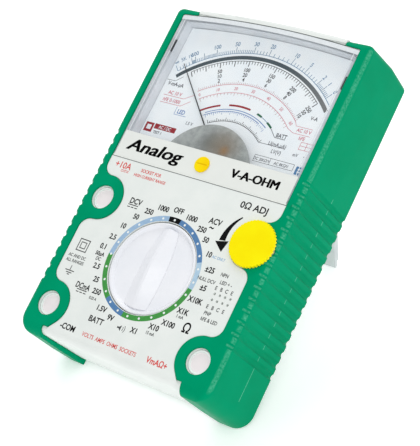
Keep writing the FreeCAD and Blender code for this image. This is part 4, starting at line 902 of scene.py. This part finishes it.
def print_load_scale(black, faint):
    """Innermost scale, with its leader line to the right."""
    z = PLATE + INK
    black.arc(DIAL_CENTRE, LOAD_SCALE_R - 0.1, LOAD_SCALE_R + 0.15, -30, 40, z)
    for k in range(36):
        length = 1.6 if k % 5 == 0 else 0.9
        black.tick(DIAL_CENTRE, LOAD_SCALE_R, LOAD_SCALE_R + length, -30 + 2.0 * k, 0.22, z)
    x, y = around(DIAL_CENTRE, LOAD_SCALE_R + 0.05, 40)
    faint.line((x, y), (28.5, y), 0.22, z)


def print_dial_notes(inks):
    """Names of the small scales and the two little tables."""
    z = PLATE + INK
    faint, sky, pink = inks["ink_faint"], inks["ink_dial_sky"], inks["ink_pink"]
    notes = (
        # text, x, y, height, weight
        ("BATT", 24.3, 33.7, 1.8, 0.03), ("LI(mA,µA)", 24.3, 29.7, 1.7, 0.02),
        ("LV(V)", 25.2, 26.6, 1.7, 0.02), ("V-mA-µA", -36.4, 44.6, 1.8, 0.03),
        ("V-A", 34.8, 44.2, 1.7, 0.03), ("1.5 V", -20.5, 28.9, 1.5, 0.02),
        ("mV", 34.0, 27.5, 1.5, 0.02), ("DC 20KΩ/V", 20.5, 22.0, 1.3, 0.02),
        ("AC 8KΩ/V", 30.0, 22.0, 1.3, 0.02),
    )
    for text, x, y, height, weight in notes:
        faint.word(text, x, y, height, z, weight=weight)
    faint.line((-42.0, 46.0), (-37.5, 46.0), 0.2, z)
    faint.line((-37.5, 46.0), (-34.5, 48.6), 0.2, z)
    faint.dot(38.3, 27.5, 0.35, z)
    sky.word("LED", -27.0, 33.0, 2.0, z, weight=0.03)
    sky.bar(-30.2, -23.8, 31.2, 31.4, z)
    sky.bar(-30.2, -30.0, 31.2, 34.8, z)
    print_table(pink, (34.0, 36.9, 39.8), (30.0, 31.6, 33.2), 40.0, 33.4, 0.2)
    print_table(faint, (16.6, 24.4, 35.7), (20.6, 23.4), 35.8, 23.4, 0.18)


def print_table(ink, columns, rows, right, top, width):
    """Ruled lines of a small table, from its first column and row to its right and its top."""
    z = PLATE + INK
    for y in rows:
        ink.bar(columns[0], right, y, y + width, z)
    for x in columns:
        ink.bar(x, x + width, rows[0], top, z)


def print_dial_blocks(inks):
    """The solid blocks in the dial's lower corners, with generic words."""
    z = PLATE + INK
    red, blue = inks["ink_dial_red"], inks["ink_block_blue"]
    white, faint = inks["ink_dial_white"], inks["ink_faint"]
    red.bar(-41.3, -37.0, 20.9, 25.2, z)
    white.bar(-40.3, -38.0, 22.0, 24.2, z + INK)
    red.bar(-36.5, -25.2, 22.9, 25.3, z)
    white.word("AC / DC", -30.9, 24.1, 1.5, z + INK, weight=0.03)
    faint.word("TEST 1", -33.6, 21.4, 1.3, z, weight=0.03)
    blue.bar(37.0, 41.6, 19.6, 23.2, z)
    white.bar(38.0, 40.6, 20.6, 21.1, z + INK)
    white.bar(38.0, 40.6, 21.8, 22.3, z + INK)


def make_prints():
    """Prints everything; each ink becomes one film that rides on the meter."""
    inks = {name: Ink(name, colour) for name, colour in {**PANEL_INKS, **DIAL_INKS}.items()}
    print_range_ring(inks)
    print_range_labels(inks)
    print_panel(inks)
    print_cover(inks)
    print_creases(inks)
    print_dial(inks)
    bpy.context.view_layer.update()
    depsgraph = bpy.context.evaluated_depsgraph_get()
    for ink in inks.values():
        ink.gather_words(depsgraph)
    for name, ink in inks.items():
        ink.build("meter", "dial_plate" if name in DIAL_INKS else "case_plastic")


make_camera()
paint_nodes()
make_studio()
make_prints()
